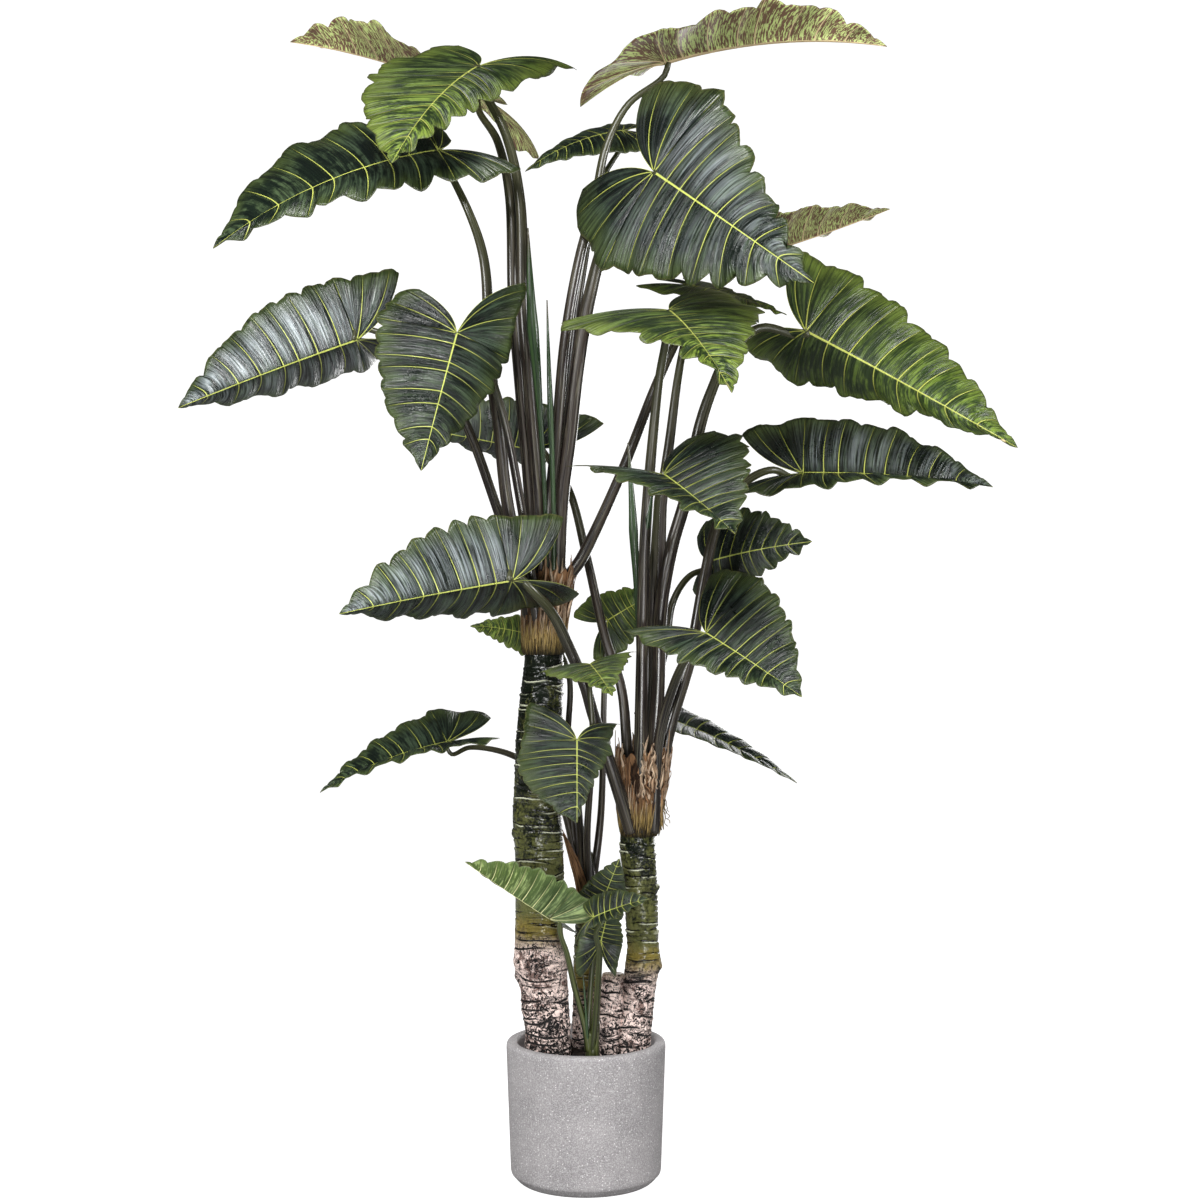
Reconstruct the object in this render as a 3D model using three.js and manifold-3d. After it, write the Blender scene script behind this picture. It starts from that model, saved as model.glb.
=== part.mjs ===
// A potted taro: three cane trunks in a round stone pot, carrying large arrow-shaped leaves.
// Millimetres, +Z up. The origin is the middle of the pot's foot, and the plant is seen from -Y.
// Places on the plant are written as a viewer measures them: across (to the right), up, and toward
// (nearer to the viewer), with across and up read on the upright plane through the pot's axis.
import * as THREE from 'three';
import { mergeVertices } from 'three/addons/utils/BufferGeometryUtils.js';
import Module from 'manifold-3d';

const wasm = await Module();
wasm.setup();

const gap = 0.3;
const bladeClearance = 0.75;
const bladeThickness = 1.4;
const viewer = { distance: 3900, across: 28, height: 1155 };
const pot = {
  height: 276, radius: 159, footRadius: 150, wall: 22, base: 24, lip: 7, chamfer: 12, recess: 6, sides: 34,
};
const soil = { top: 250, moundHeight: 5, rings: 3 };

// Blades: rows of quads before and behind the stalk, and columns from the midrib to the margin
const rowsFront = 8;
const rowsRear = 3;
const columns = 3;
const smallBlade = { length: 230, columns: 2 };
const frontShare = 0.66;
const lobeReach = 0.45;
const rollStart = 0.35;
const cupStart = 0.2;
const usualTaper = 0.45;
const edgeWave = 0.016;
const veinSag = 0.03;
const ribTip = 0.4;
const ribGain = 0.012;
const stalkSides = 5;
const sliver = 0.12;
const ridges = 0.03;

// Colours read from the photograph
const finishes = {
  stone: { color: 0xb3b0ac, roughness: 0.85 },
  soil: { color: 0x2c2622, roughness: 1 },
  cane: { color: 0x4a4a2c, roughness: 0.5 },
  fibre: { color: 0x7d4f2e, roughness: 0.95 },
  stalk: { color: 0x3a2d27, roughness: 0.4 },
  greenStalk: { color: 0x5a6a35, roughness: 0.45 },
  spear: { color: 0x31502f, roughness: 0.35 },
  dark: { color: 0x24382a, roughness: 0.3 },
  mid: { color: 0x35522f, roughness: 0.32 },
  bright: { color: 0x5f8a2a, roughness: 0.35 },
  pale: { color: 0x86a860, roughness: 0.4 },
};

// Trunks, as rings of [up, across, toward, radius] from the hole in the soil to the crown
const trunks = {
  left: {
    rings: [[150, -76, 10, 42], [255, -76, 10, 45], [309, -76, 10, 46], [370, -82, 10, 47],
      [405, -88, 10, 50], [430, -91, 10, 54], [455, -92, 10, 50], [513, -93, 10, 47],
      [590, -94, 10, 49], [667, -95, 10, 48], [720, -96, 10, 49], [769, -96, 10, 48],
      [820, -95, 10, 49], [871, -93, 10, 47], [950, -88, 10, 44], [1025, -85, 10, 39],
      [1091, -86, 10, 34]],
    sides: 13,
  },
  right: {
    rings: [[150, 90, 20, 31], [255, 92, 20, 33], [309, 97, 20, 33], [350, 104, 20, 33], [411, 110, 20, 34],
      [430, 114, 20, 36], [463, 115, 20, 31], [520, 112, 20, 33], [565, 109, 20, 33], [620, 106, 20, 34],
      [660, 104, 20, 36], [691, 104, 20, 34]],
    sides: 12,
  },
  middle: {
    rings: [[150, -2, -70, 25], [265, -2, -70, 28], [340, -1, -70, 26], [430, 2, -70, 27], [520, 4, -68, 25],
      [591, 4, -66, 23]],
    sides: 10,
  },
};

// A cut side stem, grown into the foot of the right trunk
const stub = {
  rings: [[150, 50, 22, 22], [255, 50, 22, 24], [330, 52, 22, 25], [385, 53, 22, 24], [408, 54, 22, 20]],
  sides: 10,
};

// Torn fibre collars round the tops of two trunks, and a dry leaf base on the third
const collars = {
  left: {
    rings: [[1046, -85, 10, 44], [1110, -83, 10, 47], [1170, -78, 10, 49], [1215, -72, 10, 48]],
    sides: 10, wall: 6, torn: 24, shreds: 3, seed: 11,
  },
  right: {
    rings: [[684, 106, 20, 42], [740, 108, 20, 47], [800, 112, 20, 52], [850, 113, 20, 55]],
    sides: 10, wall: 6, torn: 24, shreds: 3, seed: 23,
  },
};
const sheath = {
  points: [[-4, 560, -38], [-16, 610, -34], [-34, 660, -40], [-48, 695, -48]],
  radii: [13, 10, 1.5],
};

const crowns = {
  left: { foot: [-86, 1086, 10], top: [-80, 1205, 10], radius: 27, finish: 'stalk' },
  right: { foot: [106, 686, 20], top: [112, 800, 20], radius: 27, finish: 'stalk' },
  middle: { foot: [2, 586, -66], top: [-2, 650, -66], radius: 19, finish: 'stalk' },
  shoot: { foot: [13, 225, 92], top: [13, 290, 92], radius: 15, finish: 'greenStalk' },
};

// Leaves. at is where the stalk meets the blade and tip is the blade's point; face is the way its upper
// side looks (right, up, toward). Left and right are as seen walking to the tip on the upper side.
// wide, lobe and spread are shares of the length, angles are degrees, and thick is the stalk's radius.
// taper fills out the margin towards the tip; droop and roll turn the lobes down and over, and cup
// folds the blade further up towards the tip.
const leaves = [
  { name: 'leaf_01_top_bright', crown: 'left', finish: 'bright', at: [-216, 2223, 70],
    tip: [-388, 2029, 350], face: [-0.14, 0.87, 0.48], wide: [0.2, 0.5], taper: [0.8, 1],
    lobe: [0.78, 0.4], spread: [1.2, 0.6], fold: [-24, 0], curl: [-30, 6], bow: 24, droop: [4, -4],
    thick: [12, 8],
    stalk: [[-84, 1092, 18], [-96, 1355, 20], [-112, 1555, 26], [-126, 1755, 28], [-132, 1955, 32],
      [-160, 2085, 44]] },
  { name: 'leaf_02_top_left_underside', crown: 'left', finish: 'mid', at: [-212, 2163, -230],
    tip: [-592, 2271, -310], face: [0.1, 1, -0.12], wide: [0.26, 0.3], taper: [2.2, 0.45],
    lobe: [0.2, 0.36], spread: 0.6, fold: [-8, 20], cup: [56, 20], curl: [4, 0], roll: [0, -50],
    bow: 16, droop: [10, 14], thick: [11, 7],
    stalk: [[-98, 1092, -2], [-112, 1355, -4], [-130, 1555, -6], [-146, 1755, -8], [-152, 1955, -20],
      [-176, 2070, -110]] },
  { name: 'leaf_03_left_dark', crown: 'left', finish: 'dark', at: [-296, 2055, 100],
    tip: [-746, 1858, 180], face: [-0.1, 0.85, 0.5], wide: [0.22, 0.25], taper: [0.6, 3.3],
    lobe: [0.32, 0.08], spread: [0.6, 0.3], fold: [-16, 10], curl: [-8, 4], bow: 30, droop: [24, 44],
    thick: [12, 6],
    stalk: [[-106, 1092, 26], [-124, 1185, 34], [-158, 1355, 50], [-174, 1495, 60], [-192, 1635, 66],
      [-204, 1835, 76], [-234, 1930, 84]] },
  { name: 'leaf_04_top_centre', crown: 'left', finish: 'dark', at: [72, 2094, -150],
    tip: [-122, 2012, -110], face: [-0.1, 0.9, 0.35], wide: [0.36, 0.34], lobe: 0.25, spread: 0.5,
    fold: [-22, 2], curl: [-10, 4], bow: 30, droop: 10, thick: [9, 5],
    stalk: [[-76, 1092, -8], [-60, 1355, -24], [-34, 1600, -60], [-8, 1800, -100], [30, 1990, -140]] },
  { name: 'leaf_05_top_right_underside', crown: 'left', finish: 'mid', at: [158, 2231, -50],
    tip: [602, 2262, 20], face: [-0.08, 1, -0.1], wide: [0.3, 0.28], taper: [1.4, 1.4],
    lobe: [0.26, 0.44], spread: [0.5, 0.6], fold: [34, 3], cup: [20, 52], curl: [8, 6], roll: [-30, 0],
    bow: 26, droop: [-6, 46], thick: [11, 6],
    stalk: [[-74, 1092, 34], [-70, 1355, 30], [-58, 1490, 22], [-42, 1675, 10], [-14, 1835, -10],
      [18, 1955, -30], [40, 2060, -40], [84, 2145, -46]] },
  { name: 'leaf_06_large_front', crown: 'left', finish: 'dark', at: [136, 2011, 150],
    tip: [456, 1789, 440], face: [-0.54, 0.25, 0.76], wide: [0.41, 0.43], taper: [0.15, 0.45],
    lobe: [0.46, 0.42], spread: [0.6, 0.52], fold: [-4, -6], curl: [-8, -10], bow: 16, droop: 10,
    thick: [15, 8],
    stalk: [[-64, 1092, 14], [-50, 1355, 14], [-34, 1475, 10], [-16, 1625, 4], [6, 1755, 0],
      [40, 1880, 0], [84, 1965, 46]] },
  { name: 'leaf_07_upper_right_underside', crown: 'left', finish: 'mid', at: [298, 1835, -110],
    tip: [608, 1937, -130], face: [-0.3, 0.84, -0.45], wide: [0.34, 0.34], taper: [0.45, 1.4],
    lobe: 0.3, spread: 0.5, fold: [34, 0], curl: 0, bow: -8, droop: 16, thick: [11, 6],
    stalk: [[-60, 1092, -12], [-40, 1190, -24], [-8, 1240, -32], [70, 1407, -48], [138, 1579, -66],
      [170, 1650, -74], [228, 1755, -90]] },
  { name: 'leaf_08_right_bright', crown: 'right', finish: 'mid', at: [440, 1693, 100],
    tip: [864, 1459, 200], face: [-0.2, 0.1, 0.97], wide: [0.38, 0.28], taper: [0.75, -0.1],
    lobe: [0.32, 0.28], spread: [0.95, 0.75], fold: [-24, -44], curl: [-10, -14], bow: 18, droop: 4,
    thick: [14, 7],
    stalk: [[122, 692, 34], [142, 955, 44], [150, 1140, 50], [172, 1263, 52], [200, 1360, 54],
      [228, 1503, 56], [252, 1575, 58], [290, 1655, 56], [352, 1700, 64]] },
  { name: 'leaf_09_centre_bright', crown: 'right', finish: 'bright', at: [166, 1735, 190],
    tip: [292, 1569, 500], face: [-0.02, 0.8, 0.55], wide: [0.5, 0.56], taper: [0.1, -0.85],
    lobe: [0.5, 0.2], spread: [0.8, 0.8], fold: [-2, 3], curl: [-16, -14], bow: 20, droop: [0, 8],
    thick: [12, 7],
    stalk: [[108, 692, 44], [110, 915, 70], [114, 1125, 82], [120, 1309, 92], [146, 1595, 122],
      [158, 1665, 146]] },
  { name: 'leaf_10_left_grey', crown: 'left', finish: 'dark', at: [-458, 1675, 60], tip: [-816, 1539, 90],
    face: [0, 0.3, 0.95], wide: [0.3, 0.36], taper: [1, 1.5], lobe: [0.2, 0.34], spread: [0.55, 0.8],
    fold: [-80, 0], curl: [-8, 8], bow: 8, droop: 6, thick: [10, 5],
    stalk: [[-108, 1092, 2], [-130, 1185, 0], [-178, 1339, -6], [-254, 1535, 4], [-330, 1640, 24],
      [-400, 1685, 44]] },
  { name: 'leaf_11_left_front', crown: 'left', finish: 'dark', at: [-258, 1689, 200],
    tip: [-330, 1413, 280], face: [0.1, 0.35, 0.93], wide: [0.41, 0.54], taper: [0.65, 0.9],
    lobe: [0.6, 0.28], spread: [0.9, 0.6], fold: [-30, -4], curl: [-8, -4], roll: [10, 0], bow: 14,
    droop: 2, thick: [9, 5],
    stalk: [[-96, 1092, 40], [-106, 1180, 56], [-130, 1345, 76], [-170, 1540, 112], [-210, 1640, 156]] },
  { name: 'leaf_12_centre_back', crown: 'right', finish: 'dark', at: [-118, 1457, -150],
    tip: [-342, 1500, -150], face: [0, 0.2, 0.97], wide: [0.3, 0.44], taper: [1, 1.2], lobe: [0.2, 0.62],
    spread: [0.4, 0.85], fold: [-76, -4], curl: [-8, 6], bow: 4, droop: 4, thick: [10, 6],
    stalk: [[86, 692, 0], [80, 891, -20], [70, 983, -40], [38, 1081, -62], [2, 1239, -84],
      [-34, 1375, -110], [-70, 1430, -128]] },
  { name: 'leaf_13_left_large', crown: 'right', finish: 'dark', at: [-148, 1193, 190],
    tip: [-494, 1127, 310], face: [0.1, 0.3, 0.95], wide: [0.34, 0.38], taper: [1, 1.4],
    lobe: [0.5, 0.42], spread: [0.6, 0.85], fold: [-78, 0], curl: [-8, 8], roll: [10, 0], bow: 12,
    droop: 4, thick: [12, 7],
    stalk: [[92, 692, 44], [54, 809, 66], [14, 927, 78], [-2, 983, 84], [-32, 1055, 96],
      [-66, 1125, 120], [-104, 1170, 156]] },
  { name: 'leaf_14_centre_right', crown: 'right', finish: 'dark', at: [156, 1406, 240],
    tip: [298, 1287, 510], face: [-0.34, 0.79, 0.51], wide: [0.53, 0.37], taper: [0.6, 0],
    lobe: [0.4, 0.25], spread: [0.6, 1.45], fold: [0, 32], curl: [-6, -6], bow: 12, droop: 6,
    thick: [9, 5],
    stalk: [[122, 692, 8], [132, 955, 14], [134, 1180, 40], [140, 1310, 120], [146, 1370, 180]] },
  { name: 'leaf_15_right_dark', crown: 'right', finish: 'dark', at: [434, 1409, -70],
    tip: [814, 1381, -60], face: [0, 0.5, 0.86], wide: [0.38, 0.24], taper: [1.25, 1], lobe: [0.34, 0.34],
    spread: [0.75, 0.7], fold: [-4, 50], curl: [-6, -8], roll: [0, -24], bow: 18, droop: 8,
    thick: [12, 6],
    stalk: [[130, 692, 22], [164, 885, 30], [208, 1035, 20], [222, 1115, 14], [240, 1215, 4],
      [262, 1305, -10], [306, 1380, -30], [370, 1415, -52]] },
  { name: 'leaf_16_right_back', crown: 'right', finish: 'dark', at: [252, 1234, -120],
    tip: [452, 1272, 80], face: [-0.68, 0.44, 0.59], wide: [0.46, 0.28], taper: 0.6, lobe: [0.3, 0.3],
    spread: 0.6, fold: [0, -30], curl: [-6, -6], bow: 12, droop: 6, thick: [9, 5],
    stalk: [[118, 692, -4], [138, 917, -22], [148, 1009, -36], [160, 1065, -52], [174, 1151, -76],
      [210, 1205, -106]] },
  { name: 'leaf_17_right_front', crown: 'right', finish: 'dark', at: [240, 1089, 210],
    tip: [432, 961, 370], face: [-0.43, 0.65, 0.62], wide: [0.6, 0.37], taper: [0.7, 0.5],
    lobe: [0.4, 0.5], spread: [0.7, 1.1], fold: [0, 22], curl: [-4, -4], bow: 10, droop: 4,
    thick: [10, 6],
    stalk: [[136, 692, 42], [146, 875, 66], [172, 975, 106], [206, 1045, 160]] },
  { name: 'leaf_18_back_small', crown: 'middle', finish: 'mid', at: [44, 1115, -190],
    tip: [160, 1180, -220], face: [0, 0.4, 0.9], wide: 0.5, lobe: [0.4, 0.5], spread: [0.7, 0.7],
    fold: [-8, -10], curl: -8, bow: 16, droop: 10, thick: [7, 4],
    stalk: [[14, 592, -76], [30, 729, -90], [36, 955, -140], [40, 1060, -172]] },
  { name: 'leaf_19_left_small', crown: 'middle', finish: 'bright', at: [-110, 1085, -130],
    tip: [-232, 1103, -110], face: [0, 0.7, 0.6], wide: 0.46, lobe: 0.34, spread: 0.5, fold: [-10, 0],
    curl: [-8, 0], bow: 20, droop: 10, thick: [7, 4],
    stalk: [[-8, 592, -70], [-26, 687, -84], [-36, 871, -98], [-34, 1003, -108], [-62, 1062, -120]] },
  { name: 'leaf_20_centre_small', crown: 'middle', finish: 'bright', at: [8, 1027, 160],
    tip: [53, 963, 290], face: [-0.11, 0.88, 0.47], wide: 0.55, taper: [0, -0.2], lobe: [0.3, 0.4],
    spread: [1.3, 1.1], fold: 0, curl: -10, bow: 16, droop: 8, thick: [7, 4],
    stalk: [[4, 592, -52], [2, 680, 10], [8, 780, 84], [14, 870, 120], [8, 985, 132]] },
  { name: 'leaf_21_centre_front', crown: 'middle', finish: 'dark', at: [-18, 875, 200],
    tip: [-18, 709, 310], face: [0, 0.6, 0.8], wide: [0.43, 0.57], taper: [-0.2, 1.8], lobe: [0.5, 0.56],
    spread: [1.3, 0.87], fold: [-30, -2], curl: [-8, -4], bow: 10, droop: 4, thick: [8, 5],
    stalk: [[-4, 592, -50], [-14, 720, -10], [-20, 800, 60], [-20, 852, 140]] },
  { name: 'leaf_22_left_lower', crown: 'middle', finish: 'dark', at: [-278, 871, -20],
    tip: [-532, 770, 30], face: [0, 0.85, 0.5], wide: [0.36, 0.42], lobe: [0.34, 0.42],
    spread: [0.5, 0.6], fold: [30, 0], curl: [-6, 0], bow: 26, droop: 12, thick: [7, 4],
    stalk: [[-14, 592, -62], [-24, 655, -78], [-62, 775, -92], [-140, 841, -84], [-232, 860, -44]] },
  { name: 'leaf_23_right_lower', crown: 'right', finish: 'dark', at: [172, 915, -130],
    tip: [422, 789, -90], face: [0.1, 0.8, 0.55], wide: [0.28, 0.26], lobe: 0.25, spread: 0.5,
    fold: [-14, 26], curl: [-4, -6], bow: 18, droop: 8, thick: [8, 5],
    stalk: [[128, 692, -8], [140, 800, -48], [154, 870, -90]] },
  { name: 'leaf_24_low_pale', crown: 'shoot', finish: 'pale', at: [-74, 517, 150], tip: [-242, 631, 200],
    face: [0.12, -0.32, 0.94], wide: [0.32, 0.39], taper: [1, 1.4], lobe: 0.4, spread: [0.5, 0.7],
    fold: [-78, 0], curl: [-6, 4], bow: 8, droop: 4, thick: [6, 4],
    stalk: [[6, 253, 96], [-2, 300, 98], [-24, 385, 104], [-38, 447, 116], [-52, 490, 134]] },
  { name: 'leaf_25_low_right', crown: 'shoot', finish: 'dark', at: [16, 521, 188], tip: [127, 557, 215],
    face: [-0.3, 0.6, 0.75], wide: [0.4, 0.2], taper: 1.2, lobe: [0.2, 0.6], spread: [0.7, 1.2],
    fold: [0, 10], curl: -8, bow: 24, droop: [6, 30], thick: [6, 4],
    stalk: [[12, 253, 98], [18, 313, 102], [24, 400, 116], [26, 452, 136], [20, 490, 164]] },
  { name: 'leaf_26_low_front', crown: 'shoot', finish: 'dark', at: [30, 473, 118], tip: [50, 553, 104],
    face: [0, 0.1, 1], wide: 0.55, taper: 0.8, lobe: [1, 0.78], spread: [0.5, 1.05], fold: -6, curl: -6,
    bow: 6, droop: 6, thick: [5, 3.5],
    stalk: [[20, 253, 90], [21, 301, 90], [25, 373, 94], [29, 440, 104]] },
  { name: 'leaf_27_hidden_back', crown: 'right', finish: 'mid', at: [222, 1782, -36],
    tip: [402, 1725, 10], face: [0, 0.95, 0.25], wide: [0.36, 0.4], lobe: [0.5, 0.6], spread: 0.5,
    fold: [0, -6], curl: [0, -8], bow: 12, droop: 8, thick: [12, 6],
    stalk: [[116, 692, 6], [138, 955, 2], [148, 1207, -4], [152, 1351, -8], [168, 1477, -12],
      [184, 1600, -16], [204, 1708, -28]] },
  { name: 'leaf_28_low_back', crown: 'shoot', finish: 'dark', at: [28, 540, 84], tip: [67, 638, 70],
    face: [0, -0.05, 1], wide: 0.5, taper: 0.8, lobe: 0.3, spread: 0.6, fold: -14, curl: -6, bow: 6,
    droop: 6, thick: [6, 4],
    stalk: [[4, 253, 84], [6, 330, 78], [14, 430, 76], [24, 500, 78]] },
];

// New leaves still rolled, and old stalk ends, grown from the stalks of a crown
const shoots = [
  { crown: 'left', radii: [6, 3.4, 4, 9, 1.2],
    points: [[-80, 1092, 46], [-82, 1355, 56], [-98, 1605, 62], [-108, 1725, 62], [-116, 1899, 60]] },
  { crown: 'left', radii: [6, 3.4, 4, 1.2],
    points: [[-66, 1092, 44], [-64, 1300, 52], [-68, 1455, 54], [-74, 1615, 56], [-78, 1755, 56]] },
  { crown: 'right', points: [[116, 1255, 92], [124, 1320, 99], [134, 1383, 106]], radii: [3, 7, 1.2] },
  { crown: 'shoot', radii: [4, 3, 1.2],
    points: [[4, 246, 94], [2, 300, 104], [-2, 360, 108], [-6, 409, 108]] },
];
const spear = {
  points: [[104, 770, 34], [106, 955, 42], [102, 1175, 44], [96, 1275, 46], [92, 1355, 46], [84, 1469, 46]],
  radii: [5, 4, 5, 9.5, 1.5],
};

// A point on the plant from its measured place, moved along the viewer's line of sight
function seen([across, up, toward]) {
  const scale = 1 - toward / viewer.distance;
  return new THREE.Vector3(
    viewer.across + (across - viewer.across) * scale,
    -toward,
    viewer.height + (up - viewer.height) * scale,
  );
}

function radians(degrees) {
  return THREE.MathUtils.degToRad(degrees);
}

// One of a leaf's values, for its left (0) or right (1) half
function own(value, half) {
  return Array.isArray(value) ? value[half] : value;
}

// A repeatable run of numbers between 0 and 1
function seeded(seed) {
  let state = seed;
  return () => {
    state = (state * 16807) % 2147483647;
    return state / 2147483647;
  };
}

// One closed body from a list of points and a list of corner numbers
function body(points, corners) {
  const geometry = new THREE.BufferGeometry().setFromPoints(points);
  geometry.setIndex(corners);
  return mergeVertices(geometry, 1e-4);
}

function toSolid(geometry) {
  const bare = geometry.clone();
  bare.deleteAttribute('normal');
  bare.deleteAttribute('uv');
  const merged = mergeVertices(bare, 1e-4);
  const index = Array.from(merged.index.array);
  const triVerts = [];
  for (let i = 0; i < index.length; i += 3) {
    const [a, b, c] = index.slice(i, i + 3);
    if (a !== b && b !== c && c !== a) triVerts.push(a, b, c);
  }
  return new wasm.Manifold(new wasm.Mesh({
    numProp: 3,
    vertProperties: Float32Array.from(merged.attributes.position.array),
    triVerts: Uint32Array.from(triVerts),
  }));
}

function fromSolid(solid) {
  const mesh = solid.getMesh();
  const geometry = new THREE.BufferGeometry();
  geometry.setAttribute('position', new THREE.BufferAttribute(Float32Array.from(mesh.vertProperties), 3));
  geometry.setIndex(Array.from(mesh.triVerts));
  return geometry;
}

function largest(solid) {
  return solid.decompose().reduce((best, piece) => (piece.volume() > best.volume() ? piece : best));
}

// The main body of a cut solid, without its slivers
function trimmed(solid) {
  return fromSolid(largest(largest(solid).simplify(sliver)));
}

function joined(solids) {
  return solids.reduce((all, solid) => all.add(solid));
}

// Side walls between rings of points that follow each other, all with the same number of sides
function walls(first, rings, sides, outward) {
  const corners = [];
  for (let i = 0; i < rings - 1; i += 1) {
    for (let k = 0; k < sides; k += 1) {
      const a = first + i * sides + k;
      const b = first + i * sides + (k + 1) % sides;
      if (outward) corners.push(a, b, b + sides, a, b + sides, a + sides);
      else corners.push(a, b + sides, b, a, a + sides, b + sides);
    }
  }
  return corners;
}

// Flat ends over the first and the last ring
function ends(rings, sides) {
  const last = (rings - 1) * sides;
  const corners = [];
  for (let k = 1; k < sides - 1; k += 1) {
    corners.push(0, k + 1, k);
    corners.push(last, last + k, last + k + 1);
  }
  return corners;
}

// A round body along a smooth route, with radii spread evenly along it
function rod(points, radii, sides, steps, grow = 0) {
  const route = new THREE.CatmullRomCurve3(points, false, 'centripetal');
  const frames = route.computeFrenetFrames(steps, false);
  const ring = [];
  for (let i = 0; i <= steps; i += 1) {
    const share = i / steps;
    const place = (radii.length - 1) * share;
    const low = Math.min(Math.floor(place), radii.length - 2);
    const radius = THREE.MathUtils.lerp(radii[low], radii[low + 1], place - low) + grow;
    const centre = route.getPointAt(share);
    if (i === 0) centre.addScaledVector(frames.tangents[0], -grow);
    if (i === steps) centre.addScaledVector(frames.tangents[steps], grow);
    for (let k = 0; k < sides; k += 1) {
      const turn = 2 * Math.PI * k / sides;
      ring.push(centre.clone()
        .addScaledVector(frames.normals[i], radius * Math.cos(turn))
        .addScaledVector(frames.binormals[i], radius * Math.sin(turn)));
    }
  }
  return toSolid(body(ring, [...walls(0, steps + 1, sides, true), ...ends(steps + 1, sides)]));
}

// The blade's own frame: x from the stalk to the tip, z out of the upper side
function bladeFrame(leaf) {
  const origin = seen(leaf.at);
  const along = seen(leaf.tip).sub(origin);
  const chord = along.length();
  along.normalize();
  const face = new THREE.Vector3(leaf.face[0], -leaf.face[2], leaf.face[1]);
  face.addScaledVector(along, -face.dot(along)).normalize();
  const side = face.clone().cross(along);
  const half = radians(leaf.bow) / 2;
  const matrix = new THREE.Matrix4().makeBasis(along, side, face).setPosition(origin);
  return { matrix, length: chord * half / Math.sin(half) };
}

// Distance run along and away from the chord by an arc whose slope goes evenly from one angle to another
function arc(length, from, to) {
  if (Math.abs(to - from) < 1e-6) return [length * Math.cos(from), -length * Math.sin(from)];
  const radius = length / (to - from);
  return [radius * (Math.sin(to) - Math.sin(from)), radius * (Math.cos(to) - Math.cos(from))];
}

// Bends a flat point of the blade: bowed along the midrib, folded and curled across it
function bend(leaf, length, x, y, lift = 0) {
  const half = y >= 0 ? 0 : 1;
  const sign = half === 0 ? 1 : -1;
  const rear = Math.max(0, -x) / (lobeReach * length);
  const rolling = Math.max(0, rollStart * length - x) / ((rollStart + lobeReach) * length);
  const bow = radians(leaf.bow);
  const start = -bow / 2;
  const slope = x >= 0 ? start + bow * x / length : start - radians(own(leaf.droop, half)) * rear;
  const [run, rise] = arc(x, start, slope);
  const width = own(leaf.wide, half) * length;
  const cupping = Math.max(0, x - cupStart * length) / ((1 - cupStart) * length);
  const extra = own(leaf.roll ?? 0, half) * rolling + own(leaf.cup ?? 0, half) * cupping;
  const fold = radians(own(leaf.fold, half) + extra);
  const turned = fold + radians(own(leaf.curl, half)) * Math.abs(y) / width;
  const [out, down] = arc(Math.abs(y), -fold, -turned);
  const height = down + lift * Math.cos(turned);
  return new THREE.Vector3(
    run + height * Math.sin(slope),
    sign * (out - lift * Math.sin(turned)),
    rise + height * Math.cos(slope),
  );
}

// The outer margin of one half, from the tip (0) past the widest place to the end of the lobe (1)
function margin(leaf, length, half, share) {
  const width = own(leaf.wide, half) * length;
  if (share <= frontShare) {
    const u = 1 - share / frontShare;
    return [u * length, width * (1 - u) * (1 + own(leaf.taper ?? usualTaper, half) * u)];
  }
  const turn = (share - frontShare) / (1 - frontShare) * Math.PI / 2;
  const lobe = own(leaf.lobe, half) * length;
  const spread = own(leaf.spread, half);
  return [-lobe * Math.sin(turn), width * (spread + (1 - spread) * Math.cos(turn))];
}

// A side vein of one half, from the midrib or the stalk's end (t = 0) to the margin (t = 1)
function vein(leaf, length, half, share, t) {
  const [mx, my] = margin(leaf, length, half, share);
  const root = share < frontShare ? length * (1 - (share / frontShare) ** 0.8) : 0;
  const rear = Math.max(0, (share - frontShare) / (1 - frontShare));
  const sag = share < frontShare ? veinSag * length : 0;
  const cx = root + (mx - root) * (0.5 + 0.12 * rear) - sag;
  const cy = my * (0.5 - 0.34 * rear);
  const u = 1 - t;
  return [u * u * root + 2 * u * t * cx + t * t * mx, 2 * u * t * cy + t * t * my];
}

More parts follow.
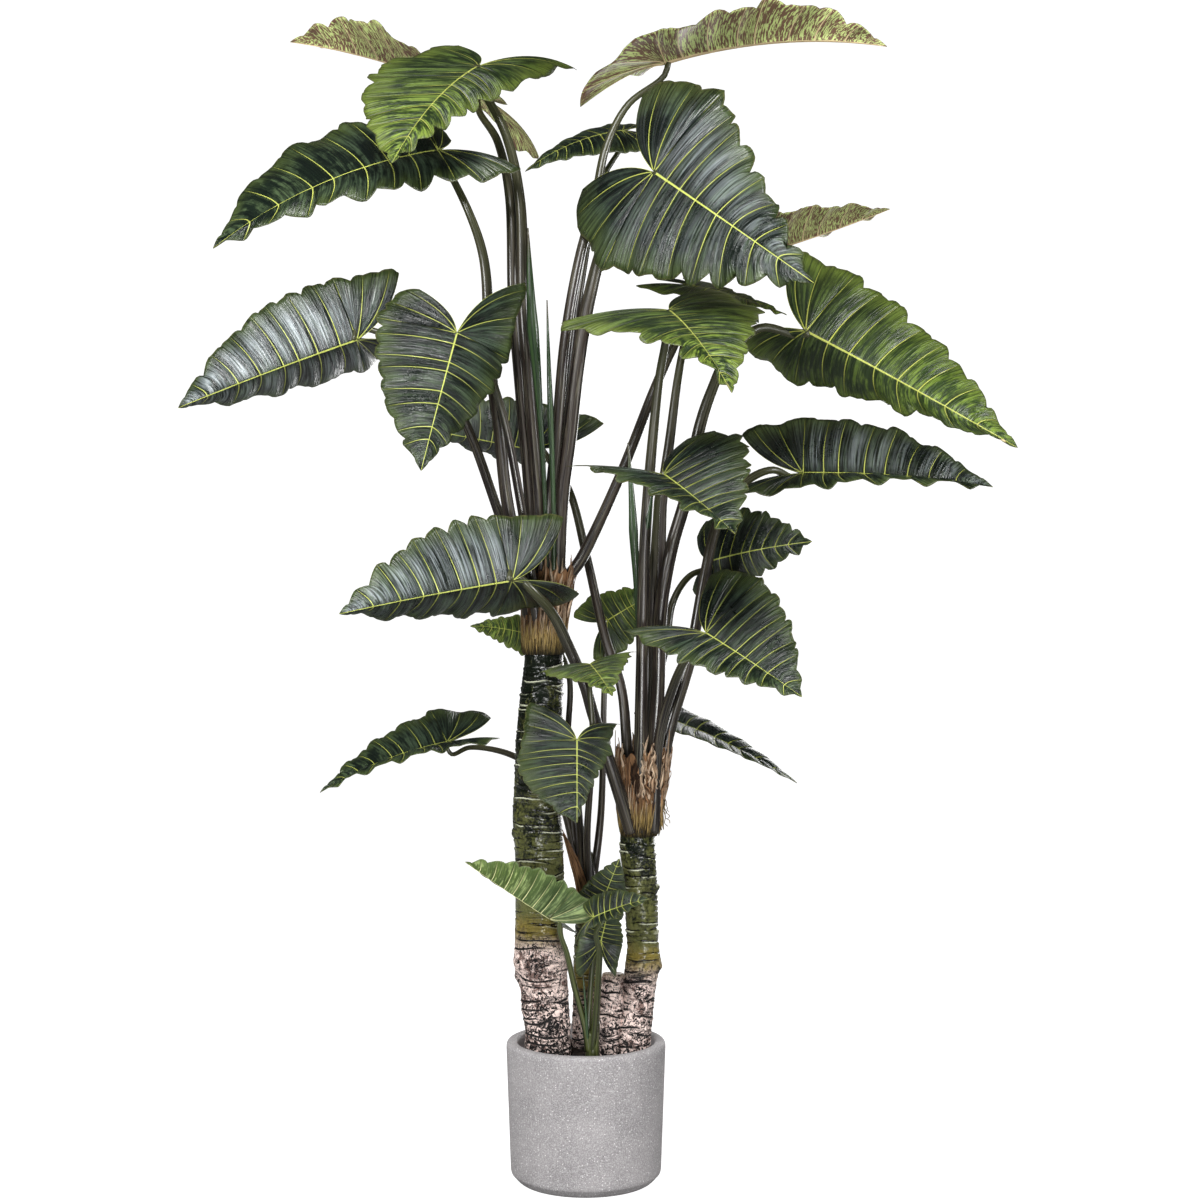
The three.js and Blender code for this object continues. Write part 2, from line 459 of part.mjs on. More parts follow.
// A leaf blade: a thin bent sheet with a waved edge and a rib below its midrib
function blade(leaf, grow = 0) {
  const { length } = bladeFrame(leaf);
  const rows = rowsFront + rowsRear;
  const across = length > smallBlade.length ? columns : smallBlade.columns;
  const middle = [];
  const ribs = [];
  const faces = [];
  const numbers = new Map();
  const add = (key, x, y, lift, rib) => {
    if (!numbers.has(key)) {
      numbers.set(key, middle.length);
      middle.push(bend(leaf, length, x, y, lift));
      ribs.push(rib);
    }
    return numbers.get(key);
  };
  for (const half of [0, 1]) {
    const sign = half === 0 ? 1 : -1;
    const grid = [];
    for (let i = 0; i <= rows; i += 1) {
      const share = i <= rowsFront ? frontShare * i / rowsFront
        : frontShare + (1 - frontShare) * (i - rowsFront) / rowsRear;
      const line = [];
      for (let k = 0; k <= across; k += 1) {
        const t = k / across;
        const [x, y] = vein(leaf, length, half, share, t);
        const swing = i % 2 === 0 ? edgeWave : -edgeWave;
        const lift = i > 0 ? swing * length * t * t * Math.min(1, (rows - i) / 2) : 0;
        const onMidrib = k === 0 || i === 0;
        const spine = i === 0 ? 'tip' : `mid${Math.min(i, rowsFront)}`;
        const rib = onMidrib ? ribTip + ribGain * (length - x) : 0;
        line.push(add(onMidrib ? spine : `${half}_${i}_${k}`, x, sign * y, lift, rib));
      }
      grid.push(line);
    }
    for (let i = 0; i < rows; i += 1) {
      for (let k = 0; k < across; k += 1) {
        const [a, b, c, d] = [grid[i][k], grid[i][k + 1], grid[i + 1][k + 1], grid[i + 1][k]];
        for (const [p, q, r] of [[a, b, c], [a, c, d]]) {
          if (p !== q && q !== r && r !== p) faces.push(half === 0 ? [p, q, r] : [p, r, q]);
        }
      }
    }
  }
  return thicken(middle, faces, ribs, grow);
}

// Both faces and the rim of a sheet, from its middle surface
function thicken(middle, faces, ribs, grow) {
  const normals = middle.map(() => new THREE.Vector3());
  const edges = new Map();
  for (const [a, b, c] of faces) {
    const normal = middle[b].clone().sub(middle[a]).cross(middle[c].clone().sub(middle[a]));
    for (const corner of [a, b, c]) normals[corner].add(normal);
    for (const [from, to] of [[a, b], [b, c], [c, a]]) {
      if (edges.has(`${to}_${from}`)) edges.delete(`${to}_${from}`);
      else edges.set(`${from}_${to}`, [from, to]);
    }
  }
  normals.forEach((normal) => normal.normalize());
  const half = bladeThickness / 2 + grow;
  const top = middle.map((point, i) => point.clone().addScaledVector(normals[i], half));
  const bottom = middle.map((point, i) => point.clone().addScaledVector(normals[i], -half - ribs[i]));
  const count = middle.length;
  const corners = [];
  for (const [a, b, c] of faces) corners.push(a, b, c, count + a, count + c, count + b);
  for (const [from, to] of edges.values()) corners.push(from, count + from, count + to, from, count + to, to);
  return body([...top, ...bottom], corners);
}

// A stalk, led up to the underside of its blade
function stalkSolid(leaf, grow = 0) {
  const { matrix, length } = bladeFrame(leaf);
  const end = bend(leaf, length, 0.015 * length, 0, -2).applyMatrix4(matrix);
  const under = bend(leaf, length, -0.02 * length, 0, -26).applyMatrix4(matrix);
  const points = [...leaf.stalk.map(seen), under, end];
  const [low, high] = leaf.thick;
  return rod(points, [low * 1.25, low, low * 0.8 + high * 0.2, high], stalkSides, points.length + 1, grow);
}

// The pot: a turned cup with a rounded lip and a narrower foot
function potShape() {
  const { height, radius, footRadius, wall, base, lip, chamfer, recess } = pot;
  const profile = [
    [0, 0], [footRadius - chamfer - recess, 0], [footRadius - chamfer, recess],
    [footRadius, recess + chamfer], [radius, height - 1.6 * lip],
    [radius - 0.2 * lip, height - 0.4 * lip], [radius - lip, height],
    [radius - wall + 0.6 * lip, height], [radius - wall, height - 0.6 * lip],
    [radius - wall, height - 2 * lip], [radius - wall, base], [0, base],
  ];
  const outline = profile.map(([x, y]) => new THREE.Vector2(x, y));
  return new THREE.LatheGeometry(outline, pot.sides).rotateX(Math.PI / 2);
}

// Soil fills the pot, with a plain hole for each stem
function soilShape(holes) {
  const reach = pot.radius - pot.wall - gap;
  const profile = [[0, pot.base + gap], [reach, pot.base + gap], [reach, soil.top - soil.moundHeight]];
  for (let i = 1; i <= soil.rings; i += 1) {
    const share = i / soil.rings;
    profile.push([reach * (1 - share), soil.top - soil.moundHeight * (1 - share) ** 2]);
  }
  const outline = profile.map(([x, y]) => new THREE.Vector2(x, y));
  const plug = new THREE.LatheGeometry(outline, pot.sides).rotateX(Math.PI / 2);
  return toSolid(plug).subtract(joined(holes));
}

// Points round each ring of [up, across, toward, radius], with three soft ridges
function ringPoints(rings, sides, grow) {
  return rings.flatMap(([up, across, toward, radius], i) => {
    const centre = seen([across, up, toward]);
    if (i === 0) centre.z -= grow;
    if (i === rings.length - 1) centre.z += grow;
    return Array.from({ length: sides }, (_, k) => {
      const turn = 2 * Math.PI * k / sides;
      const reach = radius * (1 + ridges * Math.sin(3 * turn + 1.7 * i)) + grow;
      const x = centre.x + reach * Math.cos(turn);
      const y = centre.y + reach * Math.sin(turn);
      return new THREE.Vector3(x, y, centre.z);
    });
  });
}

function cane({ rings, sides }, grow = 0) {
  const corners = [...walls(0, rings.length, sides, true), ...ends(rings.length, sides)];
  return toSolid(body(ringPoints(rings, sides, grow), corners));
}

// A fibre collar: the torn bases of old leaves standing round the top of a trunk
function collar({ rings, sides, wall, torn, shreds, seed }) {
  const draw = seeded(seed);
  const count = rings.length;
  const outer = ringPoints(rings, sides, 0);
  const lining = rings.map(([up, across, toward, radius]) => [up, across, toward, radius - wall]);
  const inner = ringPoints(lining, sides, 0);
  for (let k = 0; k < sides; k += 1) {
    const tear = torn * draw() * (k % 2 === 0 ? 1 : -1);
    outer[(count - 1) * sides + k].z += tear;
    inner[(count - 1) * sides + k].z += tear;
  }
  const corners = [...walls(0, count, sides, true), ...walls(outer.length, count, sides, false)];
  const inside = outer.length;
  for (let k = 0; k < sides; k += 1) {
    const next = (k + 1) % sides;
    corners.push(k, inside + k, inside + next, k, inside + next, next);
    const [a, b] = [(count - 1) * sides + k, (count - 1) * sides + next];
    corners.push(a, b, inside + b, a, inside + b, inside + a);
  }
  const strips = Array.from({ length: shreds }, (_, n) => {
    const turn = 2 * Math.PI * (n + 0.6 * draw()) / shreds;
    const ring = rings[1 + Math.floor(draw() * (count - 2))];
    const rise = 34 + 40 * draw();
    const lean = 6 + 12 * draw();
    const at = (up, out) => seen([ring[1], ring[0] + up, ring[2]])
      .add(new THREE.Vector3(Math.cos(turn), Math.sin(turn), 0).multiplyScalar(ring[3] + out));
    return rod([at(-14, -4), at(rise * 0.5, 1), at(rise, lean)], [5.5, 4.5, 1], 4, 2);
  });
  return joined([toSolid(body([...outer, ...inner], corners)), ...strips]);
}

const stalks = Object.fromEntries(leaves.map((leaf) => {
  const room = [0, bladeClearance].map((grow) => toSolid(blade(leaf, grow)));
  const clear = joined(room).transform(bladeFrame(leaf).matrix.elements);
  return [leaf.name, (grow) => largest(stalkSolid(leaf, grow).subtract(clear))];
}));

// Everything that grows from one crown as one body: its core, its stalks and its rolled new leaves
function crownSolid(name, grow = 0) {
  const { foot, top, radius } = crowns[name];
  const core = rod([foot, top].map(seen), [radius, radius * 0.8], 9, 2, grow);
  const stems = leaves.filter((leaf) => leaf.crown === name).map((leaf) => stalks[leaf.name](grow));
  const sprouts = shoots.filter((shoot) => shoot.crown === name)
    .map(({ points, radii }) => rod(points.map(seen), radii, stalkSides, points.length + 2, grow));
  return joined([core, ...stems, ...sprouts]);
}

const group = new THREE.Group();

function piece(name, geometry, finish, matrix) {
  const { color, roughness } = finishes[finish];
  const material = new THREE.MeshStandardMaterial({ color, roughness, metalness: 0 });
  const mesh = new THREE.Mesh(geometry, material);
  mesh.name = name;
  if (matrix) matrix.decompose(mesh.position, mesh.quaternion, mesh.scale);
  group.add(mesh);
}

const trunkSolids = {
  left: cane(trunks.left),
  right: cane(trunks.right).add(cane(stub)),
  middle: cane(trunks.middle),
};
const trunkRoom = joined([trunks.left, trunks.right, stub, trunks.middle].map((cut) => cane(cut, gap)));
const crownRoom = joined(Object.keys(crowns).map((name) => crownSolid(name, gap)));
const holes = [trunks.left, trunks.right, stub, trunks.middle].map((cut) => cane(cut, gap + 0.2));

piece('pot', potShape(), 'stone');
piece('soil', trimmed(soilShape([...holes, crownSolid('shoot', gap + 0.2)])), 'soil');
for (const [name, solid] of Object.entries(trunkSolids)) piece(`trunk_${name}`, fromSolid(solid), 'cane');
for (const [name, shape] of Object.entries(collars)) {
  piece(`collar_${name}`, trimmed(collar(shape).subtract(trunkRoom).subtract(crownRoom)), 'fibre');
}
const husk = rod(sheath.points.map(seen), sheath.radii, 6, 4);
piece('sheath_middle', trimmed(husk.subtract(trunkRoom).subtract(crownRoom)), 'fibre');
for (const name of Object.keys(crowns)) {
  piece(`stalks_${name}`, fromSolid(largest(crownSolid(name).subtract(trunkRoom))), crowns[name].finish);
}
const rolled = rod(spear.points.map(seen), spear.radii, 6, 9);
piece('spear_right', trimmed(rolled.subtract(crownRoom).subtract(trunkRoom)), 'spear');
for (const leaf of leaves) piece(leaf.name, blade(leaf), leaf.finish, bladeFrame(leaf).matrix);

export default group;
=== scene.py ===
import math
import random

import bpy
import numpy as np
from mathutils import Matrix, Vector, noise


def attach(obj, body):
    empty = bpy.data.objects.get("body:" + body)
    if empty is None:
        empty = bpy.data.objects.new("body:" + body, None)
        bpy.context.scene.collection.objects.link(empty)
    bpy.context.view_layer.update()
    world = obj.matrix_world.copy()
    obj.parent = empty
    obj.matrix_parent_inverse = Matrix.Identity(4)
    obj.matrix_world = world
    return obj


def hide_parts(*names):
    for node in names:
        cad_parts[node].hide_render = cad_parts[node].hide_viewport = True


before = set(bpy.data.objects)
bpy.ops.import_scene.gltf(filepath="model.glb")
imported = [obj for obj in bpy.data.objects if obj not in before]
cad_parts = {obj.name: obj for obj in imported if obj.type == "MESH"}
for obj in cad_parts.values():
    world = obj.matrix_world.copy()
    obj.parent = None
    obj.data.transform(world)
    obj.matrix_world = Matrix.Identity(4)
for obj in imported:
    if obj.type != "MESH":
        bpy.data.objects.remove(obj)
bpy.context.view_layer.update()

# Places are written as in the part's source: across, up and toward the viewer, in millimetres,
# with across and up read on the upright plane through the pot's axis.
viewer = {"distance": 3900, "across": 28, "height": 1155, "lens": 58.5, "sensor": 36}


# Where places written that way are in the scene, in metres
def seen(places):
    across, up, toward = np.moveaxis(np.asarray(places, float), -1, 0)
    scale = 1 - toward / viewer["distance"]
    return np.stack([viewer["across"] + (across - viewer["across"]) * scale, -toward,
                     viewer["height"] + (up - viewer["height"]) * scale], axis=-1) / 1000


def unit(vector):
    return vector / np.linalg.norm(vector)


def addObject(name, data):
    piece = bpy.data.objects.new(name, data)
    bpy.context.scene.collection.objects.link(piece)
    return piece


# Shader tools: a Paint adds nodes to one tree, and each of its calls gives back an output

class Paint:
    def __init__(self, tree):
        self.tree = tree

    def plug(self, value, socket):
        if isinstance(value, bpy.types.NodeSocket):
            self.tree.links.new(value, socket)
        elif value is not None:
            socket.default_value = value

    def node(self, kind, settings=None, inputs=None):
        made = self.tree.nodes.new("ShaderNode" + kind)
        for key, value in (settings or {}).items():
            setattr(made, key, value)
        for key, value in (inputs or {}).items():
            self.plug(value, made.inputs[key])
        return made

    def math(self, operation, *values, clamp=False):
        return self.node("Math", {"operation": operation, "use_clamp": clamp}, dict(enumerate(values))).outputs[0]

    def times(self, first, second, clamp=False):
        return self.math("MULTIPLY", first, second, clamp=clamp)

    def plus(self, first, second):
        return self.math("ADD", first, second)

    def minus(self, first, second):
        return self.math("SUBTRACT", first, second)

    def over(self, first, second):
        return self.math("DIVIDE", first, second)

    def size(self, value):
        return self.math("ABSOLUTE", value)

    def most(self, first, second):
        return self.math("MAXIMUM", first, second)

    # A value times a gain, plus a base
    def scaled(self, value, gain, base):
        return self.math("MULTIPLY_ADD", value, gain, base)

    def ramp(self, value, low, high, toLow=0.0, toHigh=1.0):
        return self.node("MapRange", {"clamp": True, "interpolation_type": "SMOOTHSTEP"},
                         dict(enumerate((value, low, high, toLow, toHigh)))).outputs[0]

    def blend(self, share, first, second):
        first, second = ((*color, 1) if isinstance(color, tuple) else color for color in (first, second))
        return self.node("Mix", {"data_type": "RGBA", "clamp_factor": True},
                         {"Factor": share, 6: first, 7: second}).outputs[2]

    # Lays colours over a base, each through its own mask
    def coats(self, color, *layers):
        for mask, layer in layers:
            color = self.blend(mask, color, layer)
        return color

    def cloud(self, place, scale, detail, roughness=None, distortion=None):
        return self.node("TexNoise", inputs={"Vector": place, "Scale": scale, "Detail": detail, "Roughness": roughness,
                                             "Distortion": distortion}).outputs["Fac"]

    def axes(self, vector):
        return self.node("SeparateXYZ", inputs={"Vector": vector}).outputs

    def field(self, name, output="Fac"):
        return self.node("Attribute", {"attribute_name": name}).outputs[output]

    def place(self):
        return self.node("TexCoord").outputs["Object"]

    def effect(self, group, inputs):
        return self.node("Group", {"node_tree": group}, inputs).outputs

    def streaks(self, place, stretch, detail):
        return self.effect(streakGroup, {"Place": place, "Stretch": stretch, "Detail": detail})[0]

    def grain(self, place, coarse, fine):
        return self.effect(grainGroup, {"Place": place, "Coarse": coarse, "Fine": fine})[:2]


# A material and its paint
class Skin(Paint):
    def __init__(self, name, specular):
        self.material = bpy.data.materials.new(name)
        self.material.use_nodes = True
        super().__init__(self.material.node_tree)
        self.shader = self.tree.nodes["Principled BSDF"]
        self.shader.inputs["Specular IOR Level"].default_value = specular

    def finish(self, color, roughness, height, strength, distance):
        bump = self.node("Bump", inputs={"Height": height, "Strength": strength, "Distance": distance})
        for value, label in ((color, "Base Color"), (roughness, "Roughness"), (bump.outputs[0], "Normal")):
            self.plug(value, self.shader.inputs[label])
        return self.material


# A node group's paint, its inputs and its outputs; an input is a vector where its value is None or a tuple
def newEffect(name, inputs, outputs):
    group = bpy.data.node_groups.new(name, "ShaderNodeTree")
    for label, value in inputs.items():
        kind = "NodeSocketVector" if value is None or isinstance(value, tuple) else "NodeSocketFloat"
        socket = group.interface.new_socket(name=label, in_out="INPUT", socket_type=kind)
        if value is not None:
            socket.default_value = value
    for label in outputs:
        group.interface.new_socket(name=label, in_out="OUTPUT", socket_type="NodeSocketFloat")
    return Paint(group), group.nodes.new("NodeGroupInput").outputs, group.nodes.new("NodeGroupOutput").inputs


# Streaks drawn out along one way of a piece's own map, as on leaf skin, stalks and fibre
def makeStreakGroup():
    paint, given, result = newEffect("streaks", {"Place": None, "Stretch": (8, 1, 1), "Detail": 3.0}, ["Streak"])
    place = paint.node("VectorMath", {"operation": "MULTIPLY"}, {0: given["Place"], 1: given["Stretch"]}).outputs[0]
    paint.plug(paint.ramp(paint.cloud(place, 1.0, given["Detail"], 0.6), 0.35, 0.65), result["Streak"])
    return paint.tree


# Side veins and midrib: veinPlace counts the veins along the blade, and runs from 0 at the midrib to
# 1 or -1 at the margin of each half; flatPlace is the flattened blade in metres
def makeVeinGroup():
    paint, given, result = newEffect("leafVeins", {
        "Vein Place": None, "Flat Place": None, "Vein Gap": 0.04, "Blade Size": 0.4, "Vein Width": 0.0028,
        "Midrib Width": 0.0068, "Front Veins": 8.0}, ["Vein", "Midrib", "Halo", "Margin"])
    size, front = given["Blade Size"], given["Front Veins"]
    count, side = paint.axes(given["Vein Place"])[:2]
    toMargin = paint.size(side)
    across = paint.size(paint.axes(given["Flat Place"])[1])
    away = paint.times(paint.size(paint.minus(count, paint.math("ROUND", count))), given["Vein Gap"])
    taper = paint.minus(1.15, paint.times(toMargin, 0.75))
    width = paint.times(paint.times(given["Vein Width"], paint.scaled(size, 0.6, 0.17)), taper)
    fromVein = paint.over(away, width)
    atMargin = paint.ramp(toMargin, 0.93, 0.99, 1.0, 0.0)
    vein = paint.times(paint.ramp(fromVein, 0.45, 1.15, 1.0, 0.0), atMargin)
    widest = paint.times(given["Midrib Width"], paint.scaled(size, 0.5, 0.12))
    share = paint.math("DIVIDE", count, front, clamp=True)
    midrib = paint.over(across, paint.times(widest, paint.scaled(share, 0.75, 0.25)))
    before = paint.ramp(paint.minus(count, front), 0.0, 0.25, 1.0, 0.0)
    for label, value in (
            ("Vein", paint.times(vein, paint.ramp(count, 0.4, 0.6))),
            ("Midrib", paint.times(paint.ramp(midrib, 0.75, 1.1, 1.0, 0.0), before)),
            ("Halo", paint.times(paint.ramp(fromVein, 0.8, 5.5, 1.0, 0.0), atMargin)),
            ("Margin", paint.ramp(toMargin, 0.972, 0.992))):
        paint.plug(value, result[label])
    return paint.tree


# Fine grain over a solid: a noise of two sizes, for stone, soil and bark
def makeGrainGroup():
    paint, given, result = newEffect("solidGrain", {"Place": None, "Coarse": 30.0, "Fine": 220.0}, ["Coarse", "Fine"])
    for label, detail in (("Coarse", 4.0), ("Fine", 2.0)):
        paint.plug(paint.cloud(given["Place"], given[label], detail, 0.6), result[label])
    return paint.tree


streakGroup, veinGroup, grainGroup = makeStreakGroup(), makeVeinGroup(), makeGrainGroup()


# Camera, floor and light

studio = {
    "floorColor": (0.3, 0.3, 0.3, 1),
    "floorGlow": (1, 1, 1, 1),  # seen by the camera alone
    "worldColor": (1, 1, 1, 1),
    "worldStrength": 0.06,
    "worldGlow": 0.94,  # added where the camera sees the world itself
    "front": -9, "back": 6, "side": 14, "sweep": 1.8, "wallTop": 12,  # the floor, in metres
    "lamps": {  # place, aim, size, watts
        "skyLamp": ((-0.6, -3.3, 4.0), (-0.2, 0, 1.4), 1.5, 175),
        "leftLamp": ((-2.8, -3.0, 2.2), (0, 0, 1.5), 0.6, 62),
        "rightLamp": ((3.4, -1.2, 2.4), (0, 0, 1.3), 0.6, 54),
        "frontLamp": ((0.5, -4.2, 0.45), (0, 0, 1.1), 0.8, 68),
        "backLamp": ((1.5, 4.0, 1.3), (0, 0, 1.2), 2.4, 110),
        "backFill": ((-3.2, 2.8, 1.2), (0, 0, 1.1), 1.2, 90),
    },
    "matteLamps": ("backFill",),  # these give no highlights
}


def buildStudio():
    camera = bpy.data.cameras.new("studioCamera")
    camera.lens, camera.sensor_width = viewer["lens"], viewer["sensor"]
    camera.sensor_fit = "HORIZONTAL"
    camera.clip_end = 60
    cameraObject = addObject("studioCamera", camera)
    cameraObject.location = (viewer["across"] / 1000, -viewer["distance"] / 1000, viewer["height"] / 1000)
    cameraObject.rotation_euler = (math.pi / 2, 0, 0)
    bpy.context.scene.camera = cameraObject

    # A floor that sweeps up into a back wall
    back, sweep, side = studio["back"], studio["sweep"], studio["side"]
    profile = [(studio["front"], 0), (back, 0)]
    profile += [(back + sweep * math.sin(a), sweep - sweep * math.cos(a)) for a in np.linspace(0.1, math.pi / 2, 16)]
    profile.append((back + sweep, studio["wallTop"]))
    points = [(x, y, z) for y, z in profile for x in (-side, side)]
    faces = [(i, i + 1, i + 3, i + 2) for i in range(0, len(points) - 2, 2)]
    mesh = bpy.data.meshes.new("studioFloor")
    mesh.from_pydata(points, [], faces)
    mesh.polygons.foreach_set("use_smooth", [True] * len(faces))
    paint = Skin("floorPaint", 0.1)
    for label, value in (("Base Color", studio["floorColor"]), ("Roughness", 0.9),
                         ("Emission Color", studio["floorGlow"]),
                         ("Emission Strength", paint.node("LightPath").outputs["Is Camera Ray"])):
        paint.plug(value, paint.shader.inputs[label])
    mesh.materials.append(paint.material)
    floor = addObject("studioFloor", mesh)

    world = bpy.data.worlds.new("studioWorld")
    world.use_nodes = True
    paint = Paint(world.node_tree)
    background = world.node_tree.nodes["Background"]
    background.inputs["Color"].default_value = studio["worldColor"]
    isCamera = paint.node("LightPath").outputs["Is Camera Ray"]
    paint.plug(paint.scaled(isCamera, studio["worldGlow"], studio["worldStrength"]), background.inputs["Strength"])
    bpy.context.scene.world = world
    for name, (place, aim, size, watts) in studio["lamps"].items():
        lamp = bpy.data.lights.new(name, "AREA")
        lamp.energy, lamp.size = watts, size
        lampObject = addObject(name, lamp)
        lampObject.location = place
        lampObject.rotation_euler = (Vector(aim) - Vector(place)).to_track_quat("-Z", "Y").to_euler()
        lampObject.visible_glossy = name not in studio["matteLamps"]
    bpy.context.scene.view_settings.view_transform = "Standard"


# Meshes

detail = 1.0
circle = 2 * math.pi
attributeKinds = {1: ("FLOAT", "value"), 3: ("FLOAT_VECTOR", "vector")}


class Sheet:
    def __init__(self):
        self.points, self.faces, self.kinds = [], [], []
        self.values, self.count = {}, 0

    def add(self, points, faces, kind=0, values=None):
        self.points.append(np.asarray(points, float))
        self.faces.extend([tuple(int(c) + self.count for c in face) for face in faces])
        self.kinds.extend([kind] * len(faces))
        for key, data in (values or {}).items():
            self.values.setdefault(key, []).append(np.asarray(data, float))
        self.count += len(points)

    def finish(self, name, node, slot, materials):
        mesh = bpy.data.meshes.new(name)
        mesh.from_pydata(np.concatenate(self.points).tolist(), [], self.faces)
        for material in materials:
            mesh.materials.append(material)
        mesh.polygons.foreach_set("material_index", self.kinds)
        mesh.polygons.foreach_set("use_smooth", [True] * len(self.faces))
        for key, parts in self.values.items():
            data = np.concatenate(parts).astype(np.float32)
            kind, label = attributeKinds[1 if data.ndim == 1 else data.shape[1]]
            mesh.attributes.new(key, kind, "POINT").data.foreach_set(label, data.ravel())
        mesh.update()
        piece = addObject(name, mesh)
        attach(piece, "root")
        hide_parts(node)


# Faces between rows of points that each close in a ring
def bandFaces(rows, sides):
    return [(i * sides + k, i * sides + (k + 1) % sides, (i + 1) * sides + (k + 1) % sides, (i + 1) * sides + k)
            for i in range(rows - 1) for k in range(sides)]


def turnsOf(sides):
    return np.arange(sides) * 2 * math.pi / sides


# A smooth route through points, and how far along it each sample lies
def smoothRoute(points, count, pieces=24):
    points = np.array(points, float)
    spread = np.vstack([2 * points[0] - points[1], points, 2 * points[-1] - points[-2]])
    steps = np.sqrt(np.linalg.norm(np.diff(spread, axis=0), axis=1))
    t = np.linspace(0, 1, pieces, endpoint=False)[:, None]
    fine = []
    for i in range(1, len(spread) - 2):
        a, b, c, d = spread[i - 1:i + 3]
        before, here, after = steps[i - 1:i + 2]
        leave = ((b - a) / before - (c - a) / (before + here) + (c - b) / here) * here
        arrive = ((c - b) / here - (d - b) / (here + after) + (d - c) / after) * here
        fine.append(b + leave * t + (3 * (c - b) - 2 * leave - arrive) * t ** 2
                    + (2 * (b - c) + leave + arrive) * t ** 3)
    fine = np.vstack(fine + [points[-1:]])
    along = np.concatenate([[0], np.cumsum(np.linalg.norm(np.diff(fine, axis=0), axis=1))])
    wanted = np.linspace(0, along[-1], count)
    return np.stack([np.interp(wanted, along, fine[:, axis]) for axis in range(3)], axis=1), wanted


def tangentsOf(route):
    tangents = np.gradient(route, axis=0)
    return tangents / np.linalg.norm(tangents, axis=1)[:, None]


# A round body along a route, with radii in millimetres spread evenly along it, and closed ends
def addTube(sheet, points, radii, sides, rows, kind=0, seed=0.0):
    rows = max(6, int(rows * detail))
    route, along = smoothRoute(points, rows)
    tangents = tangentsOf(route)
    first = [unit(np.cross(tangents[0], [0.3, 1, 0.2]))]
    for tangent in tangents[1:]:
        first.append(unit(first[-1] - tangent * first[-1].dot(tangent)))
    first = np.array(first)
    second = np.cross(tangents, first)
    share = np.linspace(0, 1, rows)
    radius = np.interp(share, np.linspace(0, 1, len(radii)), np.array(radii) / 1000)
    turn = turnsOf(sides)
    ring = np.cos(turn)[None, :, None] * first[:, None] + np.sin(turn)[None, :, None] * second[:, None]
    body = route[:, None] + ring * radius[:, None, None]
    ends = np.stack([route[0] - tangents[0] * radius[0] * 0.4, route[-1] + tangents[-1] * radius[-1] * 0.4])
    last = (rows - 1) * sides
    faces = bandFaces(rows, sides)
    faces += [(k, rows * sides, (k + 1) % sides) for k in range(sides)]
    faces += [(last + k, last + (k + 1) % sides, rows * sides + 1) for k in range(sides)]
    place = np.stack([np.tile(np.cos(turn), rows), np.tile(np.sin(turn), rows), np.repeat(along, sides)], axis=1)
    place = np.vstack([place, [0, 0, 0], [0, 0, along[-1]]]) + [seed * 3.1, seed * 1.7, seed]
    shares = np.concatenate([np.repeat(share, sides), [0, 1]])
    sheet.add(np.vstack([body.reshape(-1, 3), ends]), faces, kind, {"skinPlace": place, "share": shares})


# Leaf skins: deep and light are the two greens near the stalk, tipDeep and tipLight those near the tip
leafFinishes = {
    "dark": {"deep": (0.002, 0.005, 0.004), "light": (0.046, 0.073, 0.044),
             "tipDeep": (0.007, 0.014, 0.008), "tipLight": (0.072, 0.110, 0.050),
             "vein": (0.60, 0.66, 0.14), "edge": (0.070, 0.100, 0.026), "streak": 0.55, "gloss": 0.24},
    "mid": {"deep": (0.010, 0.020, 0.006), "light": (0.070, 0.110, 0.022),
            "tipDeep": (0.030, 0.060, 0.008), "tipLight": (0.180, 0.270, 0.035),
            "vein": (0.50, 0.54, 0.10), "edge": (0.120, 0.170, 0.024), "streak": 0.75, "gloss": 0.30},
    "bright": {"deep": (0.009, 0.020, 0.004), "light": (0.100, 0.155, 0.030),
               "tipDeep": (0.012, 0.030, 0.003), "tipLight": (0.250, 0.360, 0.050),
               "vein": (0.46, 0.50, 0.10), "edge": (0.170, 0.230, 0.035), "streak": 0.75, "gloss": 0.38},
    "pale": {"deep": (0.050, 0.090, 0.022), "light": (0.400, 0.520, 0.200),
             "tipDeep": (0.100, 0.160, 0.030), "tipLight": (0.560, 0.700, 0.260),
             "vein": (1.0, 1.0, 0.50), "edge": (0.120, 0.190, 0.040), "streak": 0.6, "gloss": 0.42},
}
undersides = {
    "underside": {"name": "streakedUnderside", "base": (0.56, 0.66, 0.25), "mark": (0.150, 0.070, 0.055),
                  "rib": (0.80, 0.62, 0.36), "share": 0.95},
    "plainUnderside": {"name": "plainUnderside", "base": (0.060, 0.090, 0.034), "mark": (0.016, 0.020, 0.012),
                       "rib": (0.26, 0.26, 0.10), "share": 0.6},
}
# The first colour is that of the painted sheen on the blades; the others are the margin and rim colours
leafMarks = {"sheenColor": (0.44, 0.50, 0.52), "margin": (0.110, 0.115, 0.040), "rim": (0.075, 0.100, 0.034),
             "rimBrown": (0.060, 0.045, 0.020)}


# The two maps of a blade, and the veins drawn from them
def readBlade(skin, widths):
    veinPlace, flatPlace = skin.field("veinPlace", "Vector"), skin.field("flatPlace", "Vector")
    return veinPlace, flatPlace, skin.effect(veinGroup, {
        "Vein Place": veinPlace, "Flat Place": flatPlace, "Vein Gap": skin.field("veinGap"),
        "Blade Size": skin.field("bladeSize"), **widths})


